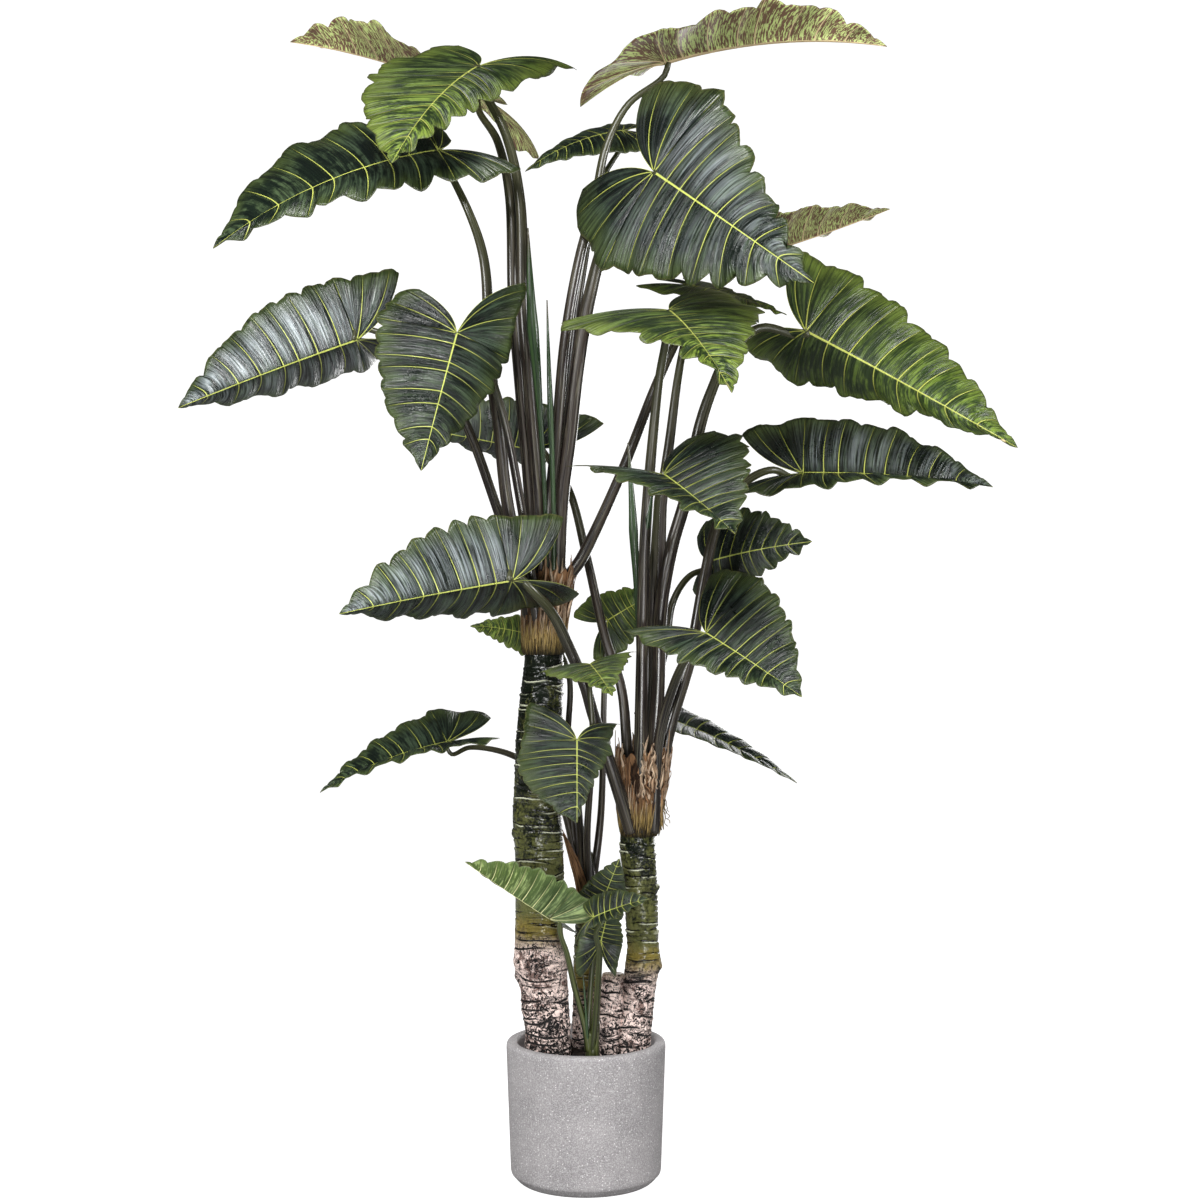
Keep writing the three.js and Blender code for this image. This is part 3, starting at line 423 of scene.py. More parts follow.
def makeLeafSkin(name, look):
    skin = Skin(name + "LeafSkin", 0.6)
    veinPlace, flatPlace, veins = readBlade(skin, {})
    count, side = skin.axes(veinPlace)[:2]
    toMargin = skin.size(side)
    combed, fine = skin.streaks(veinPlace, (6, 1.8, 5), 5.0), skin.streaks(veinPlace, (15, 1.1, 5), 2.0)
    blotch, speck = skin.cloud(flatPlace, 9.0, 6.0, 0.62), skin.cloud(flatPlace, 130.0, 3.0)
    shade = skin.scaled(skin.ramp(blotch, 0.35, 0.68), 1 - look["streak"], skin.times(combed, look["streak"]))
    shade = skin.ramp(skin.scaled(skin.minus(speck, 0.5), 0.5, shade), 0.27, 0.93)
    nearTip = skin.ramp(skin.scaled(blotch, 2.5, count), 3.0, 8.5, 1.0, 0.0)
    outer = skin.scaled(blotch, 0.7, toMargin)
    # Painted sheen: a pale grey-blue painted reflection on the panels between the side veins, brightest beside one vein
    # of each panel and broken by fine lines
    panel = skin.math("FRACT", count)
    band = skin.times(skin.ramp(panel, 0.0, 0.3, 0.35, 1.0), skin.ramp(panel, 0.4, 0.95, 1.0, 0.3))
    lines = skin.scaled(fine, -1.3, skin.ramp(blotch, 0.3, 0.6, 1.0, 1.35))
    paintedSheen = skin.times(skin.field("paintedSheen"), skin.times(lines, band), clamp=True)
    fading = skin.ramp(skin.scaled(blotch, -0.5, toMargin), 0.4, 0.85, 1.0, 0.15)
    color = skin.coats(
        skin.blend(shade, look["deep"], look["light"]),
        (nearTip, skin.blend(shade, look["tipDeep"], look["tipLight"])),
        (skin.ramp(outer, 0.95, 1.45, 0.0, 0.85), look["edge"]),
        (skin.ramp(fine, 0.45, 1.0, 0.0, 0.7), look["deep"]),
        (paintedSheen, leafMarks["sheenColor"]),
        # painted shade: the blade is darkened in the valley beside each vein
        (skin.times(veins["Halo"], 0.45), look["deep"]),
        (skin.times(veins["Vein"], fading), look["vein"]),
        (veins["Midrib"], look["vein"]),
        (skin.times(veins["Margin"], skin.ramp(speck, 0.4, 0.6)), leafMarks["margin"]))
    rough = skin.scaled(speck, 0.12, skin.scaled(blotch, 0.3, look["gloss"] - 0.14))
    relief = skin.scaled(speck, 0.3, skin.plus(skin.times(combed, 0.5), skin.times(fine, 1.1)))
    relief = skin.scaled(veins["Vein"], 0.5, skin.minus(relief, skin.times(veins["Halo"], 2.0)))
    return skin.finish(color, rough, relief, 0.6, 0.0018)


def makeUnderside(look):
    skin = Skin(look["name"], 0.2)
    veinPlace, flatPlace, veins = readBlade(skin, {"Vein Width": 0.004, "Midrib Width": 0.014})
    marks = skin.scaled(skin.cloud(flatPlace, 12.0, 4.0), 0.9, skin.streaks(veinPlace, (26, 5.5, 5), 2.0))
    marks = skin.times(skin.ramp(marks, 0.67, 0.90), look["share"])
    color = skin.coats(look["base"], (marks, look["mark"]), (skin.times(veins["Vein"], 0.8), look["rib"]),
                       (veins["Midrib"], look["rib"]))
    return skin.finish(color, skin.scaled(marks, -0.1, 0.5), veins["Vein"], 0.6, 0.0015)


def makeRim():
    skin = Skin("bladeRim", 0.3)
    mottle = skin.cloud(skin.field("flatPlace", "Vector"), 60.0, 3.0)
    color = skin.blend(skin.ramp(mottle, 0.35, 0.65), leafMarks["rim"], leafMarks["rimBrown"])
    return skin.finish(color, skin.scaled(mottle, 0.2, 0.45), mottle, 0.3, 0.0005)


# Stalk skins turn to the colour high between the two shares of their length in turnsAt
stalkLooks = {
    "stalkSkin": {"deep": (0.007, 0.005, 0.005), "light": (0.036, 0.027, 0.021), "high": (0.060, 0.066, 0.026),
                  "pale": (0.300, 0.280, 0.190), "turnsAt": (0.55, 0.95)},
    "greenStalkSkin": {"deep": (0.005, 0.008, 0.002), "light": (0.060, 0.074, 0.016), "high": (0.090, 0.110, 0.040),
                       "pale": (0.200, 0.200, 0.080), "turnsAt": (0.3, 1.0)},
    "spearSkin": {"deep": (0.005, 0.014, 0.006), "light": (0.034, 0.070, 0.024), "high": (0.060, 0.040, 0.020),
                  "pale": (0.090, 0.140, 0.060), "turnsAt": (0.9, 0.99)},
}


def makeStalkSkin(name, look):
    skin = Skin(name, 0.6)
    place = skin.field("skinPlace", "Vector")
    lines, hairlines = skin.streaks(place, (1.5, 1.5, 2), 3.0), skin.streaks(place, (9, 9, 9), 2.0)
    color = skin.coats(
        look["deep"],
        (lines, look["light"]),
        (skin.ramp(hairlines, 0.8, 1.0, 0.0, 0.3), look["pale"]),
        (skin.times(skin.ramp(skin.field("share"), *look["turnsAt"]), 0.75), look["high"]),
        (skin.ramp(skin.cloud(place, 3.0, 4.0), 0.55, 0.8, 0.0, 0.35), look["pale"]))
    return skin.finish(color, skin.scaled(lines, 0.12, 0.23), skin.scaled(hairlines, 0.5, lines), 0.15, 0.0005)


# Bark: pinkish and cracked near the soil, yellow above that, then olive with pale ring scars, whose pale lines are
# partly the scars' own colour and partly painted highlight
barkLook = {
    "foot": (1.0, 0.80, 0.73), "footDark": (0.21, 0.13, 0.11), "crack": (0.004, 0.003, 0.003),
    "olive": (0.130, 0.136, 0.044), "oliveDark": (0.004, 0.007, 0.003), "band": (0.30, 0.23, 0.05),
    # scar: the colour of the pale ring line, partly its own and partly painted highlight
    "scar": (0.66, 0.68, 0.50), "blend": 0.02, "bandHeight": 0.035, "coarse": 26.0, "fine": 160.0, "curls": 105.0,
}


def makeBark():
    skin = Skin("caneBark", 0.5)
    place = skin.place()
    coarse, fine = skin.grain(place, barkLook["coarse"], barkLook["fine"])
    above = skin.minus(skin.axes(place)[2], skin.field("barkTurn"))
    drift = skin.scaled(skin.minus(coarse, 0.5), 0.07, above)
    upper = skin.ramp(drift, 0.0, barkLook["blend"])
    bandTop = barkLook["bandHeight"]
    band = skin.times(skin.ramp(drift, -0.03, 0.01), skin.ramp(drift, bandTop * 0.6, bandTop * 1.8, 1.0, 0.0))
    worn = skin.scaled(skin.minus(fine, 0.5), 0.7, coarse)
    foot = skin.blend(skin.ramp(worn, 0.32, 0.54), barkLook["footDark"], barkLook["foot"])
    olive = skin.blend(skin.ramp(skin.scaled(above, -0.7, worn), 0.18, 0.55), barkLook["oliveDark"], barkLook["olive"])
    # Ring scars: a dark groove with a broken pale line above it; the pale line is the scar's own paler colour together
    # with a painted highlight along the ring's edge
    away = skin.plus(skin.field("scar"), skin.times(skin.minus(fine, 0.5), 0.003))
    force = skin.field("scarForce")
    line = skin.ramp(skin.over(skin.size(away), skin.scaled(upper, -0.0009, 0.0019)), 0.5, 1.4, 1.0, 0.0)
    line = skin.times(line, skin.ramp(force, 0.05, 0.35))
    pale = skin.ramp(skin.size(skin.plus(away, 0.0026)), 0.0006, 0.0017, 1.0, 0.0)
    pale = skin.times(skin.times(pale, skin.ramp(force, 0.35, 0.8)), skin.times(upper, skin.ramp(coarse, 0.40, 0.47)))
    # Curly cracks follow the level lines of a noise, thicker towards the soil and round the buds
    curl = skin.cloud(place, barkLook["curls"], 2.5, distortion=0.8)
    knot = skin.field("knot")
    nearBud = skin.ramp(knot, 0.7, 1.2, 1.0, 0.0)
    wide = skin.plus(skin.ramp(above, -0.24, -0.04, 0.085, 0.028), skin.times(nearBud, 0.035))
    crack = skin.ramp(skin.over(skin.size(skin.minus(curl, 0.5)), wide), 0.6, 1.3, 1.0, 0.0)
    circles = skin.size(skin.math("SINE", skin.scaled(curl, 14.0, skin.times(knot, 11.0))))
    crack = skin.most(crack, skin.times(skin.ramp(circles, 0.2, 0.5, 1.0, 0.0), nearBud))
    dark = skin.most(skin.times(crack, skin.scaled(upper, -0.75, 1.0)), line)
    color = skin.coats(
        foot,
        (upper, olive),
        (skin.times(band, skin.ramp(fine, 0.3, 0.6, 0.5, 0.9)), barkLook["band"]),
        (pale, barkLook["scar"]),
        (dark, barkLook["crack"]))
    sleek = skin.most(upper, skin.times(band, 0.8))
    rough = skin.scaled(pale, 0.1, skin.scaled(sleek, -0.70, 0.85))
    relief = skin.scaled(pale, 0.25, skin.scaled(fine, skin.scaled(upper, -0.3, 0.5), coarse))
    return skin.finish(color, rough, skin.scaled(dark, -0.9, relief), 0.9, 0.005)


fibreLook = {"dark": (0.022, 0.010, 0.005), "tan": (0.36, 0.19, 0.09), "pale": (0.84, 0.63, 0.44),
             "gold": (0.48, 0.34, 0.11), "base": (0.020, 0.020, 0.007)}


def makeFibre():
    skin = Skin("collarFibre", 0.25)
    lines = skin.streaks(skin.field("skinPlace", "Vector"), (5, 5, 22), 4.0)
    shade, rise = skin.field("fibreShade"), skin.field("rise")
    color = skin.coats(
        fibreLook["dark"],
        (skin.ramp(shade, 0.0, 0.4), fibreLook["tan"]),
        (skin.ramp(shade, 0.4, 0.85), fibreLook["pale"]),
        (skin.ramp(skin.scaled(lines, 0.03, rise), 0.045, 0.09, 0.85, 0.0), fibreLook["gold"]),
        (skin.ramp(skin.scaled(lines, -0.03, rise), -0.012, 0.022, 1.0, 0.0), fibreLook["base"]),
        (skin.ramp(lines, 0.4, 0.95, 0.0, 0.8), fibreLook["dark"]))
    return skin.finish(color, skin.scaled(lines, 0.1, 0.75), lines, 0.9, 0.0016)


potLook = {"stone": (0.345, 0.325, 0.33), "shade": (0.27, 0.255, 0.26), "fleck": (0.86, 0.85, 0.85),
           "pit": (0.07, 0.065, 0.07), "coarse": 12.0, "fine": 420.0, "flecks": 210.0}


def makeStone():
    skin = Skin("potStone", 0.35)
    place = skin.place()
    coarse, fine = skin.grain(place, potLook["coarse"], potLook["fine"])
    cells = skin.node("TexVoronoi", {"feature": "F1"}, {"Vector": place, "Scale": potLook["flecks"], "Randomness": 1.0})
    away, keep = cells.outputs["Distance"], skin.node("SeparateColor", inputs={"Color": cells.outputs["Color"]}).outputs
    fleck = skin.times(skin.ramp(away, 0.12, 0.3, 1.0, 0.0), skin.ramp(keep[0], 0.45, 0.65))
    pit = skin.times(skin.ramp(away, 0.08, 0.2, 1.0, 0.0), skin.ramp(keep[1], 0.70, 0.75))
    color = skin.coats(
        potLook["shade"],
        (skin.ramp(coarse, 0.3, 0.7), potLook["stone"]),
        (skin.times(skin.ramp(fine, 0.4, 0.7), 0.35), potLook["fleck"]),
        (fleck, potLook["fleck"]),
        (skin.times(pit, 0.95), potLook["pit"]))
    return skin.finish(color, skin.scaled(fleck, -0.15, 0.8), skin.minus(fine, skin.times(pit, 1.5)), 0.35, 0.0008)


soilLook = {"dark": (0.003, 0.002, 0.002), "light": (0.030, 0.021, 0.015), "fleck": (0.36, 0.29, 0.22),
            "coarse": 60.0, "fine": 320.0}


def makeSoilMatter():
    skin = Skin("pottingSoil", 0.2)
    coarse, fine = skin.grain(skin.place(), soilLook["coarse"], soilLook["fine"])
    color = skin.coats(soilLook["dark"], (skin.ramp(coarse, 0.35, 0.65), soilLook["light"]),
                       (skin.ramp(fine, 0.70, 0.73), soilLook["fleck"]))
    return skin.finish(color, skin.scaled(fine, 0.1, 0.88), skin.plus(coarse, fine), 0.9, 0.004)


# Leaf blades: wide to waved are shares or degrees, and a pair has one value for each half
blades = {
    "rows": 88, "columns": 16, "crowding": 1.2,  # how much closer the columns are near the midrib
    "veinsFront": 8, "veinsRear": 3, "veinShift": 0.2, "rootPower": 0.8,
    "frontShare": 0.66, "lobeReach": 0.45, "rollStart": 0.35, "cupStart": 0.2, "usualTaper": 0.45, "veinSag": 0.03,
    "scallop": 0.054, "edgeWave": 0.016, "flute": 0.006, "ripple": 0.004, "quilt": 0.018,  # shares of the length
    "notchDepths": (0.3, 1.0), "rearNotch": 0.5, "notchLevel": 0.75, "unevenness": 0.4, "sharpness": 0.7,
    "thickness": 0.0009, "ribWidth": 0.007, "ribTip": 0.0004, "ribGain": 0.012,
}
# A leaf's sheen pair gives how strong the painted sheen is on each half
leaves = [
    dict(name="leaf_01_top_bright", crown="left", finish="bright", at=[-216, 2223, 70], tip=[-388, 2029, 350],
         face=[-0.14, 0.87, 0.48], wide=[0.2, 0.5], taper=[0.8, 1], lobe=[0.78, 0.4], spread=[1.2, 0.6], fold=[-24, 0],
         curl=[-30, 6], bow=24, droop=[4, -4], thick=[12, 8], stalk=[[-84, 1092, 18], [-96, 1355, 20], [-112, 1555, 26],
         [-126, 1755, 28], [-132, 1955, 32], [-160, 2085, 44]]),
    dict(name="leaf_02_top_left_underside", crown="left", finish="mid", at=[-212, 2163, -230], tip=[-592, 2271, -310],
         face=[0.1, 1, -0.12], wide=[0.26, 0.3], taper=[2.2, 0.45], lobe=[0.2, 0.36], spread=0.6, fold=[-8, 20],
         cup=[56, 20], curl=[4, 0], roll=[0, -50], bow=16, droop=[10, 14], thick=[11, 7], stalk=[[-98, 1092, -2],
         [-112, 1355, -4], [-130, 1555, -6], [-146, 1755, -8], [-152, 1955, -20], [-176, 2070, -110]]),
    dict(name="leaf_03_left_dark", crown="left", finish="dark", at=[-296, 2055, 100], tip=[-746, 1858, 180],
         face=[-0.1, 0.85, 0.5], wide=[0.22, 0.25], taper=[0.6, 3.3], lobe=[0.32, 0.08], spread=[0.6, 0.3],
         fold=[-16, 10], curl=[-8, 4], bow=30, droop=[24, 44], thick=[12, 6], stalk=[[-106, 1092, 26], [-124, 1185, 34],
         [-158, 1355, 50], [-174, 1495, 60], [-192, 1635, 66], [-204, 1835, 76], [-234, 1930, 84]]),
    dict(name="leaf_04_top_centre", crown="left", finish="dark", at=[72, 2094, -150], tip=[-122, 2012, -110],
         face=[-0.1, 0.9, 0.35], wide=[0.36, 0.34], lobe=0.25, spread=0.5, fold=[-22, 2], curl=[-10, 4], bow=30,
         droop=10, waved=0.4, thick=[9, 5], stalk=[[-76, 1092, -8], [-60, 1355, -24], [-34, 1600, -60],
         [-8, 1800, -100], [30, 1990, -140]]),
    dict(name="leaf_05_top_right_underside", crown="left", finish="mid", at=[158, 2231, -50], tip=[602, 2262, 20],
         face=[-0.08, 1, -0.1], wide=[0.3, 0.28], taper=[1.4, 1.4], lobe=[0.26, 0.44], spread=[0.5, 0.6], fold=[34, 3],
         cup=[20, 52], curl=[8, 6], roll=[-30, 0], bow=26, droop=[-6, 46], thick=[11, 6], stalk=[[-74, 1092, 34],
         [-70, 1355, 30], [-58, 1490, 22], [-42, 1675, 10], [-14, 1835, -10], [18, 1955, -30], [40, 2060, -40],
         [84, 2145, -46]]),
    dict(name="leaf_06_large_front", crown="left", finish="dark", at=[136, 2011, 150], tip=[456, 1789, 440],
         face=[-0.54, 0.25, 0.76], wide=[0.41, 0.43], taper=[0.15, 0.45], lobe=[0.46, 0.42], spread=[0.6, 0.52],
         fold=[-4, -6], curl=[-8, -10], bow=16, droop=10, paintedSheen=[0.28, 0.12], thick=[15, 8], stalk=[[-64, 1092, 14],
         [-50, 1355, 14], [-34, 1475, 10], [-16, 1625, 4], [6, 1755, 0], [40, 1880, 0], [84, 1965, 46]]),
    dict(name="leaf_07_upper_right_underside", crown="left", finish="mid", at=[298, 1835, -110], tip=[608, 1937, -130],
         face=[-0.3, 0.84, -0.45], wide=[0.34, 0.34], taper=[0.45, 1.4], lobe=0.3, spread=0.5, fold=[34, 0], curl=0,
         bow=-8, droop=16, thick=[11, 6], stalk=[[-60, 1092, -12], [-40, 1190, -24], [-8, 1240, -32], [70, 1407, -48],
         [138, 1579, -66], [170, 1650, -74], [228, 1755, -90]]),
    dict(name="leaf_08_right_bright", crown="right", finish="mid", at=[440, 1693, 100], tip=[864, 1459, 200],
         face=[-0.2, 0.1, 0.97], wide=[0.38, 0.28], taper=[0.75, -0.1], lobe=[0.32, 0.28], spread=[0.95, 0.75],
         fold=[-24, -44], curl=[-10, -14], bow=18, droop=4, thick=[14, 7], stalk=[[122, 692, 34], [142, 955, 44],
         [150, 1140, 50], [172, 1263, 52], [200, 1360, 54], [228, 1503, 56], [252, 1575, 58], [290, 1655, 56],
         [352, 1700, 64]]),
    dict(name="leaf_09_centre_bright", crown="right", finish="bright", at=[166, 1735, 190], tip=[292, 1569, 500],
         face=[-0.02, 0.8, 0.55], wide=[0.5, 0.56], taper=[0.1, -0.85], lobe=[0.5, 0.2], spread=[0.8, 0.8],
         fold=[-2, 3], curl=[-16, -14], bow=20, droop=[0, 8], thick=[12, 7], stalk=[[108, 692, 44], [110, 915, 70],
         [114, 1125, 82], [120, 1309, 92], [146, 1595, 122], [158, 1665, 146]]),
    dict(name="leaf_10_left_grey", crown="left", finish="dark", at=[-458, 1675, 60], tip=[-816, 1539, 90],
         face=[0, 0.3, 0.95], wide=[0.3, 0.36], taper=[1, 1.5], lobe=[0.2, 0.34], spread=[0.55, 0.8], fold=[-80, 0],
         curl=[-8, 8], bow=8, droop=6, paintedSheen=[0.3, 0.62], thick=[10, 5], stalk=[[-108, 1092, 2], [-130, 1185, 0],
         [-178, 1339, -6], [-254, 1535, 4], [-330, 1640, 24], [-400, 1685, 44]]),
    dict(name="leaf_11_left_front", crown="left", finish="dark", at=[-258, 1689, 200], tip=[-330, 1413, 280],
         face=[0.1, 0.35, 0.93], wide=[0.41, 0.54], taper=[0.65, 0.9], lobe=[0.6, 0.28], spread=[0.9, 0.6],
         fold=[-30, -4], curl=[-8, -4], roll=[10, 0], bow=14, droop=2, thick=[9, 5], stalk=[[-96, 1092, 40],
         [-106, 1180, 56], [-130, 1345, 76], [-170, 1540, 112], [-210, 1640, 156]]),
    dict(name="leaf_12_centre_back", crown="right", finish="dark", at=[-118, 1457, -150], tip=[-342, 1500, -150],
         face=[0, 0.2, 0.97], wide=[0.3, 0.44], taper=[1, 1.2], lobe=[0.2, 0.62], spread=[0.4, 0.85], fold=[-76, -4],
         curl=[-8, 6], bow=4, droop=4, thick=[10, 6], stalk=[[86, 692, 0], [80, 891, -20], [70, 983, -40],
         [38, 1081, -62], [2, 1239, -84], [-34, 1375, -110], [-70, 1430, -128]]),
    dict(name="leaf_13_left_large", crown="right", finish="dark", at=[-148, 1193, 190], tip=[-494, 1127, 310],
         face=[0.1, 0.3, 0.95], wide=[0.34, 0.38], taper=[1, 1.4], lobe=[0.5, 0.42], spread=[0.6, 0.85], fold=[-78, 0],
         curl=[-8, 8], roll=[10, 0], bow=12, droop=4, paintedSheen=[0.08, 0.5], thick=[12, 7], stalk=[[92, 692, 44],
         [54, 809, 66], [14, 927, 78], [-2, 983, 84], [-32, 1055, 96], [-66, 1125, 120], [-104, 1170, 156]]),
    dict(name="leaf_14_centre_right", crown="right", finish="dark", at=[156, 1406, 240], tip=[298, 1287, 510],
         face=[-0.34, 0.79, 0.51], wide=[0.53, 0.37], taper=[0.6, 0], lobe=[0.4, 0.25], spread=[0.6, 1.45],
         fold=[0, 32], curl=[-6, -6], bow=12, droop=6, thick=[9, 5], stalk=[[122, 692, 8], [132, 955, 14],
         [134, 1180, 40], [140, 1310, 120], [146, 1370, 180]]),
    dict(name="leaf_15_right_dark", crown="right", finish="dark", at=[434, 1409, -70], tip=[814, 1381, -60],
         face=[0, 0.5, 0.86], wide=[0.38, 0.24], taper=[1.25, 1], lobe=[0.34, 0.34], spread=[0.75, 0.7], fold=[-4, 50],
         curl=[-6, -8], roll=[0, -24], bow=18, droop=8, paintedSheen=[0.32, 0], thick=[12, 6], stalk=[[130, 692, 22],
         [164, 885, 30], [208, 1035, 20], [222, 1115, 14], [240, 1215, 4], [262, 1305, -10], [306, 1380, -30],
         [370, 1415, -52]]),
    dict(name="leaf_16_right_back", crown="right", finish="dark", at=[252, 1234, -120], tip=[452, 1272, 80],
         face=[-0.68, 0.44, 0.59], wide=[0.46, 0.28], taper=0.6, lobe=[0.3, 0.3], spread=0.6, fold=[0, -30],
         curl=[-6, -6], bow=12, droop=6, thick=[9, 5], stalk=[[118, 692, -4], [138, 917, -22], [148, 1009, -36],
         [160, 1065, -52], [174, 1151, -76], [210, 1205, -106]]),
    dict(name="leaf_17_right_front", crown="right", finish="dark", at=[240, 1089, 210], tip=[432, 961, 370],
         face=[-0.43, 0.65, 0.62], wide=[0.6, 0.37], taper=[0.7, 0.5], lobe=[0.4, 0.5], spread=[0.7, 1.1], fold=[0, 22],
         curl=[-4, -4], bow=10, droop=4, thick=[10, 6], stalk=[[136, 692, 42], [146, 875, 66], [172, 975, 106],
         [206, 1045, 160]]),
    dict(name="leaf_18_back_small", crown="middle", finish="mid", at=[44, 1115, -190], tip=[160, 1180, -220],
         face=[0, 0.4, 0.9], wide=0.5, lobe=[0.4, 0.5], spread=[0.7, 0.7], fold=[-8, -10], curl=-8, bow=16, droop=10,
         thick=[7, 4], stalk=[[14, 592, -76], [30, 729, -90], [36, 955, -140], [40, 1060, -172]]),
    dict(name="leaf_19_left_small", crown="middle", finish="bright", at=[-110, 1085, -130], tip=[-232, 1103, -110],
         face=[0, 0.7, 0.6], wide=0.46, lobe=0.34, spread=0.5, fold=[-10, 0], curl=[-8, 0], bow=20, droop=10,
         thick=[7, 4], stalk=[[-8, 592, -70], [-26, 687, -84], [-36, 871, -98], [-34, 1003, -108], [-62, 1062, -120]]),
    dict(name="leaf_20_centre_small", crown="middle", finish="bright", at=[8, 1027, 160], tip=[53, 963, 290],
         face=[-0.11, 0.88, 0.47], wide=0.55, taper=[0, -0.2], lobe=[0.3, 0.4], spread=[1.3, 1.1], fold=0, curl=-10,
         bow=16, droop=8, thick=[7, 4], stalk=[[4, 592, -52], [2, 680, 10], [8, 780, 84], [14, 870, 120],
         [8, 985, 132]]),
    dict(name="leaf_21_centre_front", crown="middle", finish="dark", at=[-18, 875, 200], tip=[-18, 709, 310],
         face=[0, 0.6, 0.8], wide=[0.43, 0.57], taper=[-0.2, 1.8], lobe=[0.5, 0.56], spread=[1.3, 0.87], fold=[-30, -2],
         curl=[-8, -4], bow=10, droop=4, thick=[8, 5], stalk=[[-4, 592, -50], [-14, 720, -10], [-20, 800, 60],
         [-20, 852, 140]]),
    dict(name="leaf_22_left_lower", crown="middle", finish="dark", at=[-278, 871, -20], tip=[-532, 770, 30],
         face=[0, 0.85, 0.5], wide=[0.36, 0.42], lobe=[0.34, 0.42], spread=[0.5, 0.6], fold=[30, 0], curl=[-6, 0],
         bow=26, droop=12, thick=[7, 4], stalk=[[-14, 592, -62], [-24, 655, -78], [-62, 775, -92], [-140, 841, -84],
         [-232, 860, -44]]),
    dict(name="leaf_23_right_lower", crown="right", finish="dark", at=[172, 915, -130], tip=[422, 789, -90],
         face=[0.1, 0.8, 0.55], wide=[0.28, 0.26], lobe=0.25, spread=0.5, fold=[-14, 26], curl=[-4, -6], bow=18,
         droop=8, waved=0.25, thick=[8, 5], stalk=[[128, 692, -8], [140, 800, -48], [154, 870, -90]]),
    dict(name="leaf_24_low_pale", crown="shoot", finish="pale", at=[-74, 517, 150], tip=[-242, 631, 200],
         face=[0.12, -0.32, 0.94], wide=[0.32, 0.39], taper=[1, 1.4], lobe=0.4, spread=[0.5, 0.7], fold=[-78, 0],
         curl=[-6, 4], bow=8, droop=4, thick=[6, 4], stalk=[[6, 253, 96], [-2, 300, 98], [-24, 385, 104],
         [-38, 447, 116], [-52, 490, 134]]),
    dict(name="leaf_25_low_right", crown="shoot", finish="dark", at=[16, 521, 188], tip=[127, 557, 215],
         face=[-0.3, 0.6, 0.75], wide=[0.4, 0.2], taper=1.2, lobe=[0.2, 0.6], spread=[0.7, 1.2], fold=[0, 10], curl=-8,
         bow=24, droop=[6, 30], thick=[6, 4], stalk=[[12, 253, 98], [18, 313, 102], [24, 400, 116], [26, 452, 136],
         [20, 490, 164]]),
    dict(name="leaf_26_low_front", crown="shoot", finish="dark", at=[30, 473, 118], tip=[50, 553, 104],
         face=[0, 0.1, 1], wide=0.55, taper=0.8, lobe=[1, 0.78], spread=[0.5, 1.05], fold=-6, curl=-6, bow=6, droop=6,
         thick=[5, 3.5], stalk=[[20, 253, 90], [21, 301, 90], [25, 373, 94], [29, 440, 104]]),
    dict(name="leaf_27_hidden_back", crown="right", finish="mid", at=[222, 1782, -36], tip=[402, 1725, 10],
         face=[0, 0.95, 0.25], wide=[0.36, 0.4], lobe=[0.5, 0.6], spread=0.5, fold=[0, -6], curl=[0, -8], bow=12,
         droop=8, thick=[12, 6], stalk=[[116, 692, 6], [138, 955, 2], [148, 1207, -4], [152, 1351, -8],
         [168, 1477, -12], [184, 1600, -16], [204, 1708, -28]]),
    dict(name="leaf_28_low_back", crown="shoot", finish="dark", at=[28, 540, 84], tip=[67, 638, 70], face=[0, -0.05, 1],
         wide=0.5, taper=0.8, lobe=0.3, spread=0.6, fold=-14, curl=-6, bow=6, droop=6, thick=[6, 4],
         stalk=[[4, 253, 84], [6, 330, 78], [14, 430, 76], [24, 500, 78]]),
]


# A leaf's own value for one half
def own(leaf, key, half, usual=0):
    value = leaf.get(key, usual)
    return value[half] if isinstance(value, list) else value


def bladeFrame(leaf):
    origin = seen(leaf["at"])
    chord = seen(leaf["tip"]) - origin
    along = unit(chord)
    right, up, toward = leaf["face"]
    face = np.array([right, -toward, up], float)
    face = unit(face - along * face.dot(along))
    half = math.radians(leaf["bow"]) / 2
    return np.stack([along, np.cross(face, along), face]), origin, np.linalg.norm(chord) * half / math.sin(half)


def arc(length, start, stop):
    turn = stop - start
    small = np.abs(turn) < 1e-6
    radius = length / np.where(small, 1, turn)
    run = np.where(small, length * np.cos(start), radius * (np.sin(stop) - np.sin(start)))
    fall = np.where(small, -length * np.sin(start), radius * (np.cos(stop) - np.cos(start)))
    return run, fall


# Bends flat points of one half: bowed along the midrib, folded and curled across it
def bend(leaf, length, half, x, y, lift):
    reach, rollStart, cupStart = (blades[key] for key in ("lobeReach", "rollStart", "cupStart"))
    rolling = np.maximum(0, rollStart * length - x) / ((rollStart + reach) * length)
    cupping = np.maximum(0, x - cupStart * length) / ((1 - cupStart) * length)
    bow = math.radians(leaf["bow"])
    droop = math.radians(own(leaf, "droop", half)) * np.maximum(0, -x) / (reach * length)
    slope = np.where(x >= 0, bow * x / length, -droop) - bow / 2
    run, rise = arc(x, -bow / 2, slope)
    fold = np.radians(own(leaf, "fold", half) + own(leaf, "roll", half) * rolling + own(leaf, "cup", half) * cupping)
    turned = fold + math.radians(own(leaf, "curl", half)) * y / (own(leaf, "wide", half) * length)
    out, down = arc(y, -fold, -turned)
    height = down + lift * np.cos(turned)
    return np.stack([run + height * np.sin(slope), (1 - 2 * half) * (out - lift * np.sin(turned)),
                     rise + height * np.cos(slope)], axis=-1)


def margin(leaf, length, half, share):
    edge, width = blades["frontShare"], own(leaf, "wide", half) * length
    taper, spread = own(leaf, "taper", half, blades["usualTaper"]), own(leaf, "spread", half)
    u = 1 - share / edge
    turn = np.clip((share - edge) / (1 - edge), 0, 1) * math.pi / 2
    x = np.where(share <= edge, u * length, -own(leaf, "lobe", half) * length * np.sin(turn))
    y = np.where(share <= edge, width * (1 - u) * (1 + taper * u), width * (spread + (1 - spread) * np.cos(turn)))
    return x, y


